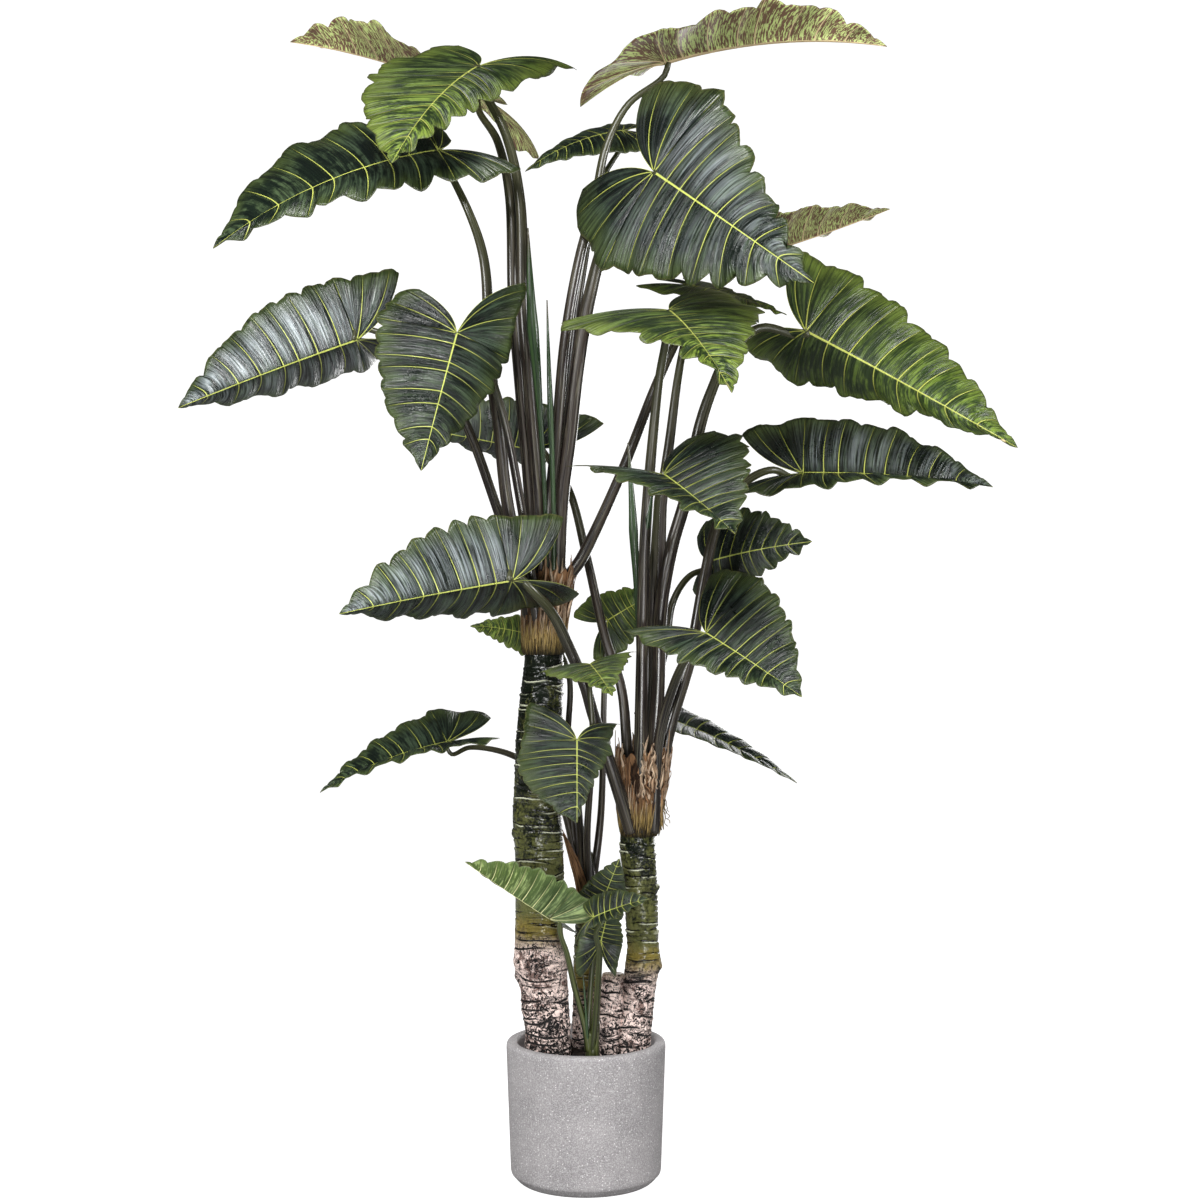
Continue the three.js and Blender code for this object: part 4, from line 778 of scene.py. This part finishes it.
# Points on the side veins of one half, from the midrib (t = 0) to the margin (t = 1)
def veins(leaf, length, half, share, t):
    edge = blades["frontShare"]
    endX, endY = margin(leaf, length, half, share)
    front = share < edge
    root = np.where(front, length * (1 - np.minimum(share / edge, 1) ** blades["rootPower"]), 0)
    rear = np.clip((share - edge) / (1 - edge), 0, 1)
    bentX = root + (endX - root) * (0.5 + 0.12 * rear) - np.where(front, blades["veinSag"] * length, 0)
    bentY = endY * (0.5 - 0.34 * rear)
    u = 1 - t
    return u * u * root + 2 * u * t * bentX + t * t * endX, 2 * u * t * bentY + t * t * endY


# Where on the margin a side vein ends, for veins counted from the tip
def marginShare(count):
    edge, front, rear = blades["frontShare"], blades["veinsFront"], blades["veinsRear"]
    return np.where(count < front, edge * count / front, edge + (1 - edge) * (count - front) / rear)


def waves(values, seed, scale):
    return np.array([noise.noise(Vector((v * scale, seed, 0.5 * seed))) for v in values])


def bladePoint(leaf, x, lift):
    axes, origin, length = bladeFrame(leaf)
    return origin + bend(leaf, length, 0, x * length, 0.0, lift) @ axes


# One half of a blade, as grids of its bent points and of the values on them
def halfBlade(leaf, order, half, length, count, share, t, draw):
    total, sign, seed = blades["veinsFront"] + blades["veinsRear"], 1 - 2 * half, 3.7 * order + 1.9 * half
    calm = np.minimum(1, np.minimum(count, (total - count) / 2)) * leaf.get("waved", 1) * length
    shares, across = np.meshgrid(share, t, indexing="ij")
    x, y = veins(leaf, length, half, shares, across)
    depths = [draw.uniform(*blades["notchDepths"]) for _ in range(total + 1)]
    depth = np.array([depths[int(c)] for c in count]) * np.where(count > blades["veinsFront"], blades["rearNotch"], 1)
    notched = (np.abs(np.cos(math.pi * count)) ** blades["sharpness"] - blades["notchLevel"]) * depth
    notched += blades["unevenness"] * waves(share, seed, 22)
    y = y + (notched * calm * blades["scallop"])[:, None] * across ** 4
    # How far apart the side veins are
    step = np.maximum(np.gradient(count), 1e-6)[:, None]
    alongX, alongY = np.gradient(x, axis=0) / step, np.gradient(y, axis=0) / step
    acrossX, acrossY = np.gradient(x, axis=1), np.gradient(y, axis=1)
    gap = np.abs(alongX * acrossY - alongY * acrossX) / np.maximum(np.hypot(acrossX, acrossY), 1e-7)
    swing = np.cos(math.pi * count) * blades["edgeWave"] - np.cos(2 * math.pi * count) * blades["flute"]
    swing = (swing + waves(share, seed + 40, 26) * blades["ripple"]) * calm
    quilt = np.abs(np.sin(math.pi * count)) ** blades["sharpness"] * np.clip(count - 0.4, 0, 1)
    quilt = quilt[:, None] * np.sin(math.pi * np.minimum(across, 0.995)) ** 0.8
    lift = swing[:, None] * across ** 2 + quilt * blades["quilt"] * np.minimum(gap * 6, length)
    # Where the painted sheen shows: none at the midrib and the margin, and weaker on the rear lobes
    shine = np.minimum(1, 5 * t) * np.minimum(1, 2.4 * (1 - t)) * np.clip((9.2 - count) / 2, 0.2, 1)[:, None]
    rib = blades["ribTip"] + blades["ribGain"] * (length - np.maximum(x, 0))
    same = np.ones(x.shape)
    return {
        "points": bend(leaf, length, half, x, y, lift),
        "rib": rib * np.maximum(0, 1 - np.abs(y) / blades["ribWidth"]),
        "veinPlace": np.stack([count[:, None] * same, sign * across, order * 1.37 * same], axis=-1),
        "flatPlace": np.stack([x, sign * y, order * 0.61 * same], axis=-1),
        "veinGap": gap, "bladeSize": length * same, "paintedSheen": own(leaf, "paintedSheen", half) * shine,
    }


def buildBlade(leaf, order):
    axes, origin, length = bladeFrame(leaf)
    rows, columns, front = int(blades["rows"] * detail), int(blades["columns"] * detail), blades["veinsFront"]
    total = front + blades["veinsRear"]
    count = np.linspace(0, total, rows + 1)
    draw = random.Random(order + 5)
    shifts = [0] + [draw.uniform(-blades["veinShift"], blades["veinShift"]) for _ in range(total - 1)] + [0]
    shifts[front] = 0
    share = marginShare(count + np.interp(count, range(total + 1), shifts))
    t = np.linspace(0, 1, columns + 1) ** blades["crowding"]
    halves = [halfBlade(leaf, order, half, length, count, share, t, draw) for half in (0, 1)]
    # The halves share the tip, which is point 0, and the midrib down to the stalk
    spine = rows * front // total
    kept = np.ones((2, rows + 1, columns + 1), bool)
    kept[:, 0] = kept[1, :, 0] = kept[0, spine + 1:, 0] = False
    kept[0, 0, 0] = True
    numbers = np.zeros(kept.shape, int)
    numbers[kept] = np.arange(kept.sum())
    numbers[:, 1:, 0] = numbers[0, np.minimum(np.arange(1, rows + 1), spine), 0]
    values = {key: np.stack([part[key] for part in halves])[kept] for key in halves[0]}
    middle, rib = values.pop("points"), values.pop("rib")
    faces = []
    for half, grid in enumerate(numbers.tolist()):
        for near, far in zip(grid, grid[1:]):
            for k in range(columns):
                face = list(dict.fromkeys((near[k], near[k + 1], far[k + 1], far[k])))
                if len(face) > 2:
                    faces.append(face[::-1] if half else face)
    corners = np.array([f[:3] for f in faces] + [[f[0], f[2], f[3]] for f in faces if len(f) == 4])
    flat = np.cross(middle[corners[:, 1]] - middle[corners[:, 0]], middle[corners[:, 2]] - middle[corners[:, 0]])
    normals = np.zeros_like(middle)
    for column in range(3):
        np.add.at(normals, corners[:, column], flat)
    normals /= np.maximum(np.linalg.norm(normals, axis=1), 1e-12)[:, None]
    edges = {}
    for face in faces:
        for a, b in zip(face, face[1:] + face[:1]):
            if edges.pop((b, a), None) is None:
                edges[a, b] = True
    size, thin = len(middle), blades["thickness"] / 2
    sheet = Sheet()
    sheet.add(origin + (middle + normals * thin) @ axes, faces, 0, values)
    sheet.add(origin + (middle - normals * (thin + rib)[:, None]) @ axes, [face[::-1] for face in faces], 1, values)
    sheet.faces.extend((b, a, a + size, b + size) for a, b in edges)
    sheet.kinds.extend([2] * len(edges))
    finish = leaf["finish"]
    below = "underside" if "underside" in leaf["name"] or finish == "mid" else "plainUnderside"
    sheet.finish(leaf["name"] + "_blade", leaf["name"], finish + "_leaf",
                 [leafSkins[finish], leafSkins[below], leafSkins["rim"]])


# Stalks grow out of a crown on each cane, with furled leaves among them; radii and thick in millimetres
crowns = {
    "left": {"foot": (-86, 1086, 10), "top": (-80, 1205, 10), "radius": 27, "skin": "stalkSkin"},
    "right": {"foot": (106, 686, 20), "top": (112, 800, 20), "radius": 27, "skin": "stalkSkin"},
    "middle": {"foot": (2, 586, -66), "top": (-2, 650, -66), "radius": 19, "skin": "stalkSkin"},
    "shoot": {"foot": (13, 225, 92), "top": (13, 290, 92), "radius": 15, "skin": "greenStalkSkin"},
}
shoots = [
    {"crown": "left", "points": [(-80, 1092, 46), (-82, 1355, 56), (-98, 1605, 62), (-108, 1725, 62), (-116, 1899, 60)],
     "radii": [6, 3.4, 5.5, 12, 1.2]},
    {"crown": "left", "points": [(-66, 1092, 44), (-64, 1300, 52), (-68, 1455, 54), (-74, 1615, 56), (-78, 1755, 56)],
     "radii": [6, 4.4, 6.5, 1.2]},
    {"crown": "right", "points": [(116, 1255, 92), (124, 1320, 99), (134, 1383, 106)], "radii": [3, 7, 1.2]},
    {"crown": "shoot", "points": [(4, 246, 94), (2, 300, 104), (-2, 360, 108), (-6, 409, 108)], "radii": [4, 3, 1.2]},
]
spear = {
    "points": [(104, 770, 34), (106, 955, 42), (102, 1175, 44), (96, 1275, 46), (92, 1355, 46), (84, 1469, 46)],
    "radii": [5, 4, 5, 9.5, 1.5],
}


def buildCrown(name):
    crown = crowns[name]
    sheet = Sheet()
    addTube(sheet, seen([crown["foot"], crown["top"]]), [crown["radius"], crown["radius"] * 0.8], 20, 12)
    for order, leaf in enumerate(leaves):
        if leaf["crown"] == name:
            low, high = leaf["thick"]
            points = [*seen(leaf["stalk"]), bladePoint(leaf, -0.02, -0.026), bladePoint(leaf, 0.015, -0.002)]
            addTube(sheet, points, [low * 1.25, low, low * 0.8 + high * 0.2, high], 14, 90, 0, order + 1.0)
    for order, shoot in enumerate(shoots):
        if shoot["crown"] == name:
            addTube(sheet, seen(shoot["points"]), shoot["radii"], 12, 60, 1, order + 50.0)
    slot = "green_stalk" if name == "shoot" else "stalk"
    sheet.finish("stems_" + name, "stalks_" + name, slot, [stalkSkins[crown["skin"]], stalkSkins["spearSkin"]])


def buildSpear():
    sheet = Sheet()
    addTube(sheet, seen(spear["points"]), spear["radii"], 16, 120, 0, 70.0)
    sheet.finish("rolled_leaf_right", "spear_right", "spear", [stalkSkins["spearSkin"]])


# Trunks: rings of up, across, toward and radius, and the height, angle and radius of each old bud, in metres
trunks = {
    "left": {"barkTurn": 0.485, "scarGap": 0.0135, "rings": [
        (150, -76, 10, 42), (255, -76, 10, 45), (309, -76, 10, 46), (370, -82, 10, 47), (405, -88, 10, 50),
        (430, -91, 10, 54), (455, -92, 10, 50), (513, -93, 10, 47), (590, -94, 10, 49), (667, -95, 10, 48),
        (720, -96, 10, 49), (769, -96, 10, 48), (820, -95, 10, 49), (871, -93, 10, 47), (950, -88, 10, 44),
        (1025, -85, 10, 39), (1091, -86, 10, 34)],
        "buds": [(0.437, 4.6, 0.020), (0.405, 3.2, 0.016), (0.315, 4.9, 0.018), (0.618, 4.9, 0.013), (0.69, 3.3, 0.012),
                 (0.745, 5.2, 0.012), (0.56, 1.2, 0.014), (0.38, 1.6, 0.018), (0.86, 4.3, 0.010), (0.97, 5.0, 0.010)]},
    "right": {"barkTurn": 0.425, "scarGap": 0.0125, "rings": [
        (150, 90, 20, 31), (255, 92, 20, 33), (309, 97, 20, 33), (350, 104, 20, 33), (411, 110, 20, 34),
        (430, 114, 20, 36), (463, 115, 20, 31), (520, 112, 20, 33), (565, 109, 20, 33), (620, 106, 20, 34),
        (660, 104, 20, 36), (691, 104, 20, 34)],
        "buds": [(0.378, 4.9, 0.016), (0.425, 6.1, 0.013), (0.50, 5.6, 0.011), (0.585, 6.2, 0.010),
                 (0.33, 1.7, 0.015)]},
    "middle": {"barkTurn": 0.36, "scarGap": 0.013, "rings": [
        (150, -2, -70, 25), (265, -2, -70, 28), (340, -1, -70, 26), (430, 2, -70, 27), (520, 4, -68, 25),
        (591, 4, -66, 23)], "buds": [(0.42, 4.6, 0.010)]},
}
stub = {"rings": [(150, 50, 22, 22), (255, 50, 22, 24), (330, 52, 22, 25), (385, 53, 22, 24), (408, 54, 22, 20)],
        "barkTurn": 0.42, "scarGap": 0.015, "buds": [(0.30, 4.4, 0.012)]}
caneRelief = {
    "sides": 150, "stubSides": 90, "pitch": 0.002, "soften": 0.02, "budHeight": 0.35, "budPush": 0.55,
    "grooveWidth": 0.0014, "grooveDepth": 0.0026, "stepBelow": 0.004, "stepWidth": 0.003, "stepHeight": 0.0021,
    "bumps": 0.0007, "woodBumps": 0.0022,
}


def addCane(sheet, cane, seed, sides):
    draw = random.Random(seed)
    rings = np.array(cane["rings"], float)
    centres, radii = seen(rings[:, [1, 0, 2]]), rings[:, 3] / 1000
    low, high = centres[0, 2], centres[-1, 2]
    z = np.linspace(low, high, int((high - low) / caneRelief["pitch"] * detail))
    soft = max(3, int(caneRelief["soften"] / (z[1] - z[0]))) | 1
    window = np.hanning(soft + 2)[1:-1]
    window /= window.sum()
    lines = [np.interp(z, centres[:, 2], values) for values in (centres[:, 0], centres[:, 1], radii)]
    x, y, radius = (np.convolve(np.pad(line, soft // 2, mode="edge"), window, mode="valid")[:, None] for line in lines)
    order = np.interp(z, centres[:, 2], np.arange(len(rings)))[:, None]
    turn = turnsOf(sides)
    zGrid, turnGrid = np.meshgrid(z, turn, indexing="ij")
    # Old buds: the ring scars part above and below each one
    pushed, knot, bulge = zGrid.copy(), np.full(zGrid.shape, 9.0), np.zeros(zGrid.shape)
    for height, angle, reach in cane["buds"]:
        aside = (np.mod(turnGrid - angle + math.pi, circle) - math.pi) * np.mean(radii)
        above = zGrid - height
        push = np.exp(-(aside / (1.6 * reach)) ** 2) * np.exp(-(above / (2.2 * reach)) ** 2)
        pushed -= caneRelief["budPush"] * reach * push * np.tanh(above / (0.5 * reach))
        distance = np.hypot(aside, above * 1.1) / reach
        knot = np.minimum(knot, distance)
        bulge = np.maximum(bulge, np.exp(-(distance / 0.75) ** 2) * reach * caneRelief["budHeight"])
    nearest, strength = np.full(zGrid.shape, 1.0), np.zeros(zGrid.shape)
    height = low + 0.006
    while height < high - 0.004:
        tilt, phase, force = draw.uniform(0.001, 0.007), draw.uniform(0, 6.3), draw.uniform(0.15, 1.0)
        line = pushed - height - tilt * np.sin(turnGrid + phase) - 0.4 * tilt * np.sin(3 * turnGrid + 2 * phase)
        closer = np.abs(line) < np.abs(nearest)
        nearest = np.where(closer, line, nearest)
        strength = np.where(closer, force * np.maximum(0, 0.65 + 0.55 * np.sin(2 * turnGrid + 3 * phase)), strength)
        height += cane["scarGap"] * draw.uniform(0.4, 1.6)
    wood = np.clip((cane["barkTurn"] + 0.02 - zGrid) / 0.05, 0, 1)
    groove = -np.exp(-(nearest / caneRelief["grooveWidth"]) ** 2) * caneRelief["grooveDepth"]
    step = np.exp(-((nearest + caneRelief["stepBelow"]) / caneRelief["stepWidth"]) ** 2) * caneRelief["stepHeight"]
    bumps = np.array([[noise.noise(Vector((math.cos(a) * 1.6, math.sin(a) * 1.6, h * 28 + seed)))
                       + 0.5 * noise.noise(Vector((math.cos(a) * 5, math.sin(a) * 5, h * 90 + seed)))
                       for a in turn] for h in z])
    reach = radius * (1 + 0.03 * np.sin(3 * turnGrid + 1.7 * order)) + (groove + step) * strength + bulge
    reach += bumps * (caneRelief["bumps"] + caneRelief["woodBumps"] * wood)
    points = np.stack([x + reach * np.cos(turnGrid), y + reach * np.sin(turnGrid), zGrid], axis=2).reshape(-1, 3)
    size = len(points)
    faces = bandFaces(len(z), sides)
    faces += [(size - sides + k, size - sides + (k + 1) % sides, size) for k in range(sides)]
    sheet.add(np.vstack([points, [x[-1, 0], y[-1, 0], high]]), faces, 0, {
        "scar": np.append(nearest, 0.05), "scarForce": np.append(strength, 0), "knot": np.append(knot, 9),
        "barkTurn": np.full(size + 1, cane["barkTurn"])})


def buildTrunks():
    for order, (name, cane) in enumerate(trunks.items()):
        sheet = Sheet()
        addCane(sheet, cane, 5 + order * 11, caneRelief["sides"])
        if name == "right":
            addCane(sheet, stub, 91, caneRelief["stubSides"])
        sheet.finish("cane_" + name, "trunk_" + name, "cane", [bark])


# Fibre collars: a sleeve along rings of up, across, toward and radius, with torn strips round it. Each row of
# strips has how many, angle, start, length, width, flare, crumple and shade; a length below 0 hangs down
collars = {
    "left": {"seed": 7, "sleeve": 0.3, "rings": [
        (1046, -85, 10, 41), (1062, -85, 10, 45), (1110, -83, 10, 47), (1170, -78, 10, 49), (1215, -72, 10, 48)],
        "strips": [
            (130, (0, 6.28), (1047, 1075), (45, 95), (1.5, 5), (0, 2), 0.4, (0.2, 0.95)),
            # near-black strips among the others: dark fibre, and painted shade in the gaps between strips
            (46, (0, 6.28), (1056, 1110), (40, 100), (2, 5), (0, 2), 0.8, (0.0, 0.12)),
            (64, (0, 6.28), (1075, 1120), (60, 115), (3, 9), (1, 6), 1.6, (0.1, 0.9)),
            (9, (5.2, 6.3), (1095, 1120), (60, 95), (6, 11), (5, 12), 2.2, (0.45, 0.8)),
            (9, (4.3, 6.1), (1130, 1170), (70, 110), (3, 7), (-6, 3), 1.5, (0.4, 0.9)),
        ]},
    "right": {"seed": 19, "sleeve": 0.3, "rings": [
        (684, 106, 20, 37), (712, 107, 20, 43), (740, 108, 20, 47), (800, 112, 20, 52), (850, 113, 20, 55)],
        "strips": [
            (130, (0, 6.28), (686, 715), (45, 110), (1.2, 4), (0, 2), 0.4, (0.35, 1.0)),
            (52, (4.6, 6.4), (750, 810), (45, 95), (3, 9), (-6, 3), 4.0, (0.35, 1.0)),
            # near-black strips between the crumpled pale ones: dark fibre, and painted shade in the gaps between them
            (26, (4.2, 6.4), (740, 800), (40, 90), (3, 8), (-4, 2), 2.5, (0.0, 0.15)),
            (6, (5.7, 6.3), (785, 800), (90, 108), (6, 10), (-4, 3), 2.5, (0.4, 0.95)),
            (9, (3.2, 3.9), (795, 815), (45, 75), (5, 9), (-6, 1), 3.0, (0.4, 0.95)),
            (44, (0.2, 3.1), (725, 800), (55, 105), (4, 12), (-6, 3), 2.4, (0.1, 0.85)),
            (3, (5.5, 5.9), (760, 775), (-88, -70), (9, 15), (8, 14), 2.0, (0.42, 0.55)),
            (5, (5.9, 6.3), (745, 765), (-50, -30), (1.2, 2), (10, 18), 6.0, (0.0, 0.1)),
        ]},
}
collarShape = {"sides": 72, "rows": 30, "tear": 0.03, "rough": 0.0022, "outerInset": 0.0012, "innerInset": 0.006,
               "stripRows": 20, "stripThickness": 0.0012, "stripInset": 0.5, "lean": 0.2}
sheath = {"points": [(-4, 560, -38), (-16, 610, -34), (-34, 660, -40), (-48, 695, -48)], "radii": [13, 10, 1.5],
          "shade": 0.45, "rise": 0.1}


def addStrip(sheet, points, width, outward, shade, seed, foot):
    route, along = smoothRoute(points, max(8, int(collarShape["stripRows"] * detail)))
    tangents = tangentsOf(route)
    sideways = np.cross(tangents, outward)
    sideways /= np.linalg.norm(sideways, axis=1)[:, None]
    share = along / along[-1]
    half = (width / 2 * np.minimum(1, (1.04 - share) * 3.2) * (1 + 0.15 * np.sin(9 * share + seed)))[:, None]
    lift = np.cross(sideways, tangents) * collarShape["stripThickness"] / 2
    ring = np.stack([route - sideways * half - lift * 0.4, route + lift * 1.6, route + sideways * half - lift * 0.4,
                     route - lift], axis=1).reshape(-1, 3)
    rows, size = len(route), len(ring)
    faces = bandFaces(rows, 4) + [(3, 2, 1, 0), tuple(range(size - 4, size))]
    across = np.tile([0.0, 0.5, 1.0, 0.5], rows)
    place = np.stack([across + seed, np.full(size, seed * 0.37), np.repeat(along, 4)], axis=1)
    sheet.add(ring, faces, 0, {"skinPlace": place, "fibreShade": np.full(size, shade), "rise": ring[:, 2] - foot})


# The centre of a collar at a height up, and its radius in metres
def ringAt(rings, up):
    across, toward, radius = (np.interp(up, rings[:, 0], rings[:, axis]) for axis in (1, 2, 3))
    return seen((across, up, toward)), radius / 1000


def buildCollar(name):
    collar = collars[name]
    draw, seed = random.Random(collar["seed"]), collar["seed"]
    sheet = Sheet()
    rings = np.array(collar["rings"], float)
    low, high = rings[0, 0], rings[-1, 0]
    foot = ringAt(rings, low)[0][2]
    sides, rows = collarShape["sides"], collarShape["rows"]
    turn = turnsOf(sides)
    tear = [noise.noise(Vector((3 * math.cos(a), 3 * math.sin(a), seed))) * collarShape["tear"] for a in turn]
    outer, inner = [], []
    for share in np.linspace(0, 1, rows):
        centre, radius = ringAt(rings, low + (high - low) * share)
        for a, rise in zip(turn, tear):
            rough = noise.noise(Vector((5 * math.cos(a), 5 * math.sin(a), share * 3 + seed))) * collarShape["rough"]
            for ring, inset in ((outer, "outerInset"), (inner, "innerInset")):
                reach = radius - collarShape[inset] + rough
                ring.append(centre + [reach * math.cos(a), reach * math.sin(a), rise * share ** 3])
    size = len(outer)
    faces = bandFaces(rows, sides)
    faces += [tuple(c + size for c in face[::-1]) for face in faces]
    for k in range(sides):
        after = (k + 1) % sides
        faces.append((k, k + size, after + size, after))
        a, b = size - sides + k, size - sides + after
        faces.append((a, b, b + size, a + size))
    sleeve = np.array(outer + inner)
    place = [(5 * math.cos(a), 5 * math.sin(a), row * 0.006) for row in range(rows) for a in turn]
    sheet.add(sleeve, faces, 0, {"skinPlace": place + place, "rise": sleeve[:, 2] - foot,
                                 "fibreShade": np.repeat([collar["sleeve"], 0.05], size)})
    for many, *spans, crumple, shades in collar["strips"]:
        for _ in range(many):
            a, begin, length, width, flare, shade = (draw.uniform(*span) for span in (*spans, shades))
            lean = draw.uniform(-collarShape["lean"], collarShape["lean"])
            points = []
            for share in np.linspace(0, 1, 8):
                centre, radius = ringAt(rings, begin + length * share)
                out = flare * share ** 2 - collarShape["stripInset"] + crumple * draw.uniform(-0.3, 1) * share ** 0.5
                angle = a + lean * share + crumple * draw.uniform(-1, 1) / (radius * 1000)
                points.append(centre + np.array([math.cos(angle), math.sin(angle), 0]) * (radius + out / 1000))
            addStrip(sheet, points, width / 1000, [math.cos(a), math.sin(a), 0], shade, draw.uniform(0, 90), foot)
    sheet.finish("fibres_" + name, "collar_" + name, "fibre", [fibre])


def buildSheath():
    sheet = Sheet()
    addTube(sheet, seen(sheath["points"]), sheath["radii"], 18, 40, 0, 3.0)
    sheet.values["fibreShade"] = [np.full(sheet.count, sheath["shade"])]
    sheet.values["rise"] = [np.full(sheet.count, sheath["rise"])]
    sheet.finish("dry_leaf_base", "sheath_middle", "fibre", [fibre])


# Pot and soil, in metres
pot = {"height": 0.276, "radius": 0.159, "footRadius": 0.150, "wall": 0.022, "base": 0.024, "lip": 0.007,
       "chamfer": 0.012, "recess": 0.006, "sides": 144}
soil = {"top": 0.250, "mound": 0.005, "clods": 0.006, "reach": 0.1367, "rings": 64, "sides": 150}


def rounded(start, corner, stop, steps):
    t = np.linspace(0, 1, steps)[:, None]
    return [*((1 - t) ** 2 * np.array(start) + 2 * t * (1 - t) * np.array(corner) + t ** 2 * np.array(stop))]


def buildPot():
    height, radius, foot, wall, base, lip, chamfer, recess, sides = pot.values()
    slope = (radius - foot) / (height - 1.6 * lip - recess - chamfer)
    profile = [(0.0005, 0.0), (foot - chamfer - recess, 0.0)]
    profile += rounded((foot - chamfer - recess + 0.001, 0.0), (foot - chamfer, recess * 0.4),
                       (foot - 0.004, recess + chamfer * 0.55), 5)
    profile += rounded((foot - 0.003, recess + chamfer * 0.62), (foot, recess + chamfer * 0.8),
                       (foot + slope * 0.006, recess + chamfer + 0.006), 5)
    profile += [(foot + slope * (z - recess - chamfer), z) for z in np.linspace(0.03, height - 2 * lip, 26)]
    profile += rounded((radius - 0.0002, height - 1.6 * lip), (radius, height), (radius - 1.1 * lip, height), 10)
    profile += rounded((radius - wall + 0.9 * lip, height), (radius - wall, height), (radius - wall, height - lip), 8)
    profile += [(radius - wall, z) for z in np.linspace(height - 1.5 * lip, base, 12)]
    profile.append((0.0005, base))
    sheet = Sheet()
    sheet.add([(r * math.cos(a), r * math.sin(a), z) for r, z in profile for a in turnsOf(sides)],
              bandFaces(len(profile), sides))
    sheet.finish("turned_pot", "pot", "stone", [stone])


def buildSoil():
    rings, sides = int(soil["rings"] * detail), int(soil["sides"] * detail)
    points = []
    for share in np.linspace(0.004, 1, rings):
        for a in turnsOf(sides):
            x, y = soil["reach"] * share * math.cos(a), soil["reach"] * share * math.sin(a)
            lump = noise.fractal(Vector((x * 34, y * 34, 4.2)), 1.0, 2.1, 4)
            clod = noise.noise(Vector((x * 110, y * 110, 1.3)))
            rise = soil["clods"] * (0.45 * lump + 0.35 * clod) * min(1, (1 - share) * 9 + 0.3)
            points.append((x, y, soil["top"] - soil["mound"] * share ** 2 + rise))
    size = len(points)
    points += [(x, y, pot["base"] + 0.0003) for x, y, _ in points[-sides:]]
    faces = [face[::-1] for face in bandFaces(rings, sides)]
    for k in range(sides):
        after = (k + 1) % sides
        faces.append((size - sides + after, size - sides + k, size + k, size + after))
    faces += [tuple(size + k for k in range(sides))[::-1], tuple(range(sides))]
    sheet = Sheet()
    sheet.add(points, faces)
    sheet.finish("soil_surface", "soil", "soil", [soilMatter])


leafSkins = {name: makeLeafSkin(name, look) for name, look in leafFinishes.items()}
leafSkins.update({name: makeUnderside(look) for name, look in undersides.items()})
leafSkins["rim"] = makeRim()
stalkSkins = {name: makeStalkSkin(name, look) for name, look in stalkLooks.items()}
bark, fibre, stone, soilMatter = makeBark(), makeFibre(), makeStone(), makeSoilMatter()
print("stage: materials ready")

buildStudio()
buildPot()
buildSoil()
buildTrunks()
print("stage: pot, soil and trunks ready")
for collarName in collars:
    buildCollar(collarName)
buildSheath()
for crownName in crowns:
    buildCrown(crownName)
buildSpear()
print("stage: stalks and collars ready")
for leafOrder, leafEntry in enumerate(leaves):
    buildBlade(leafEntry, leafOrder)
print("stage: blades ready")
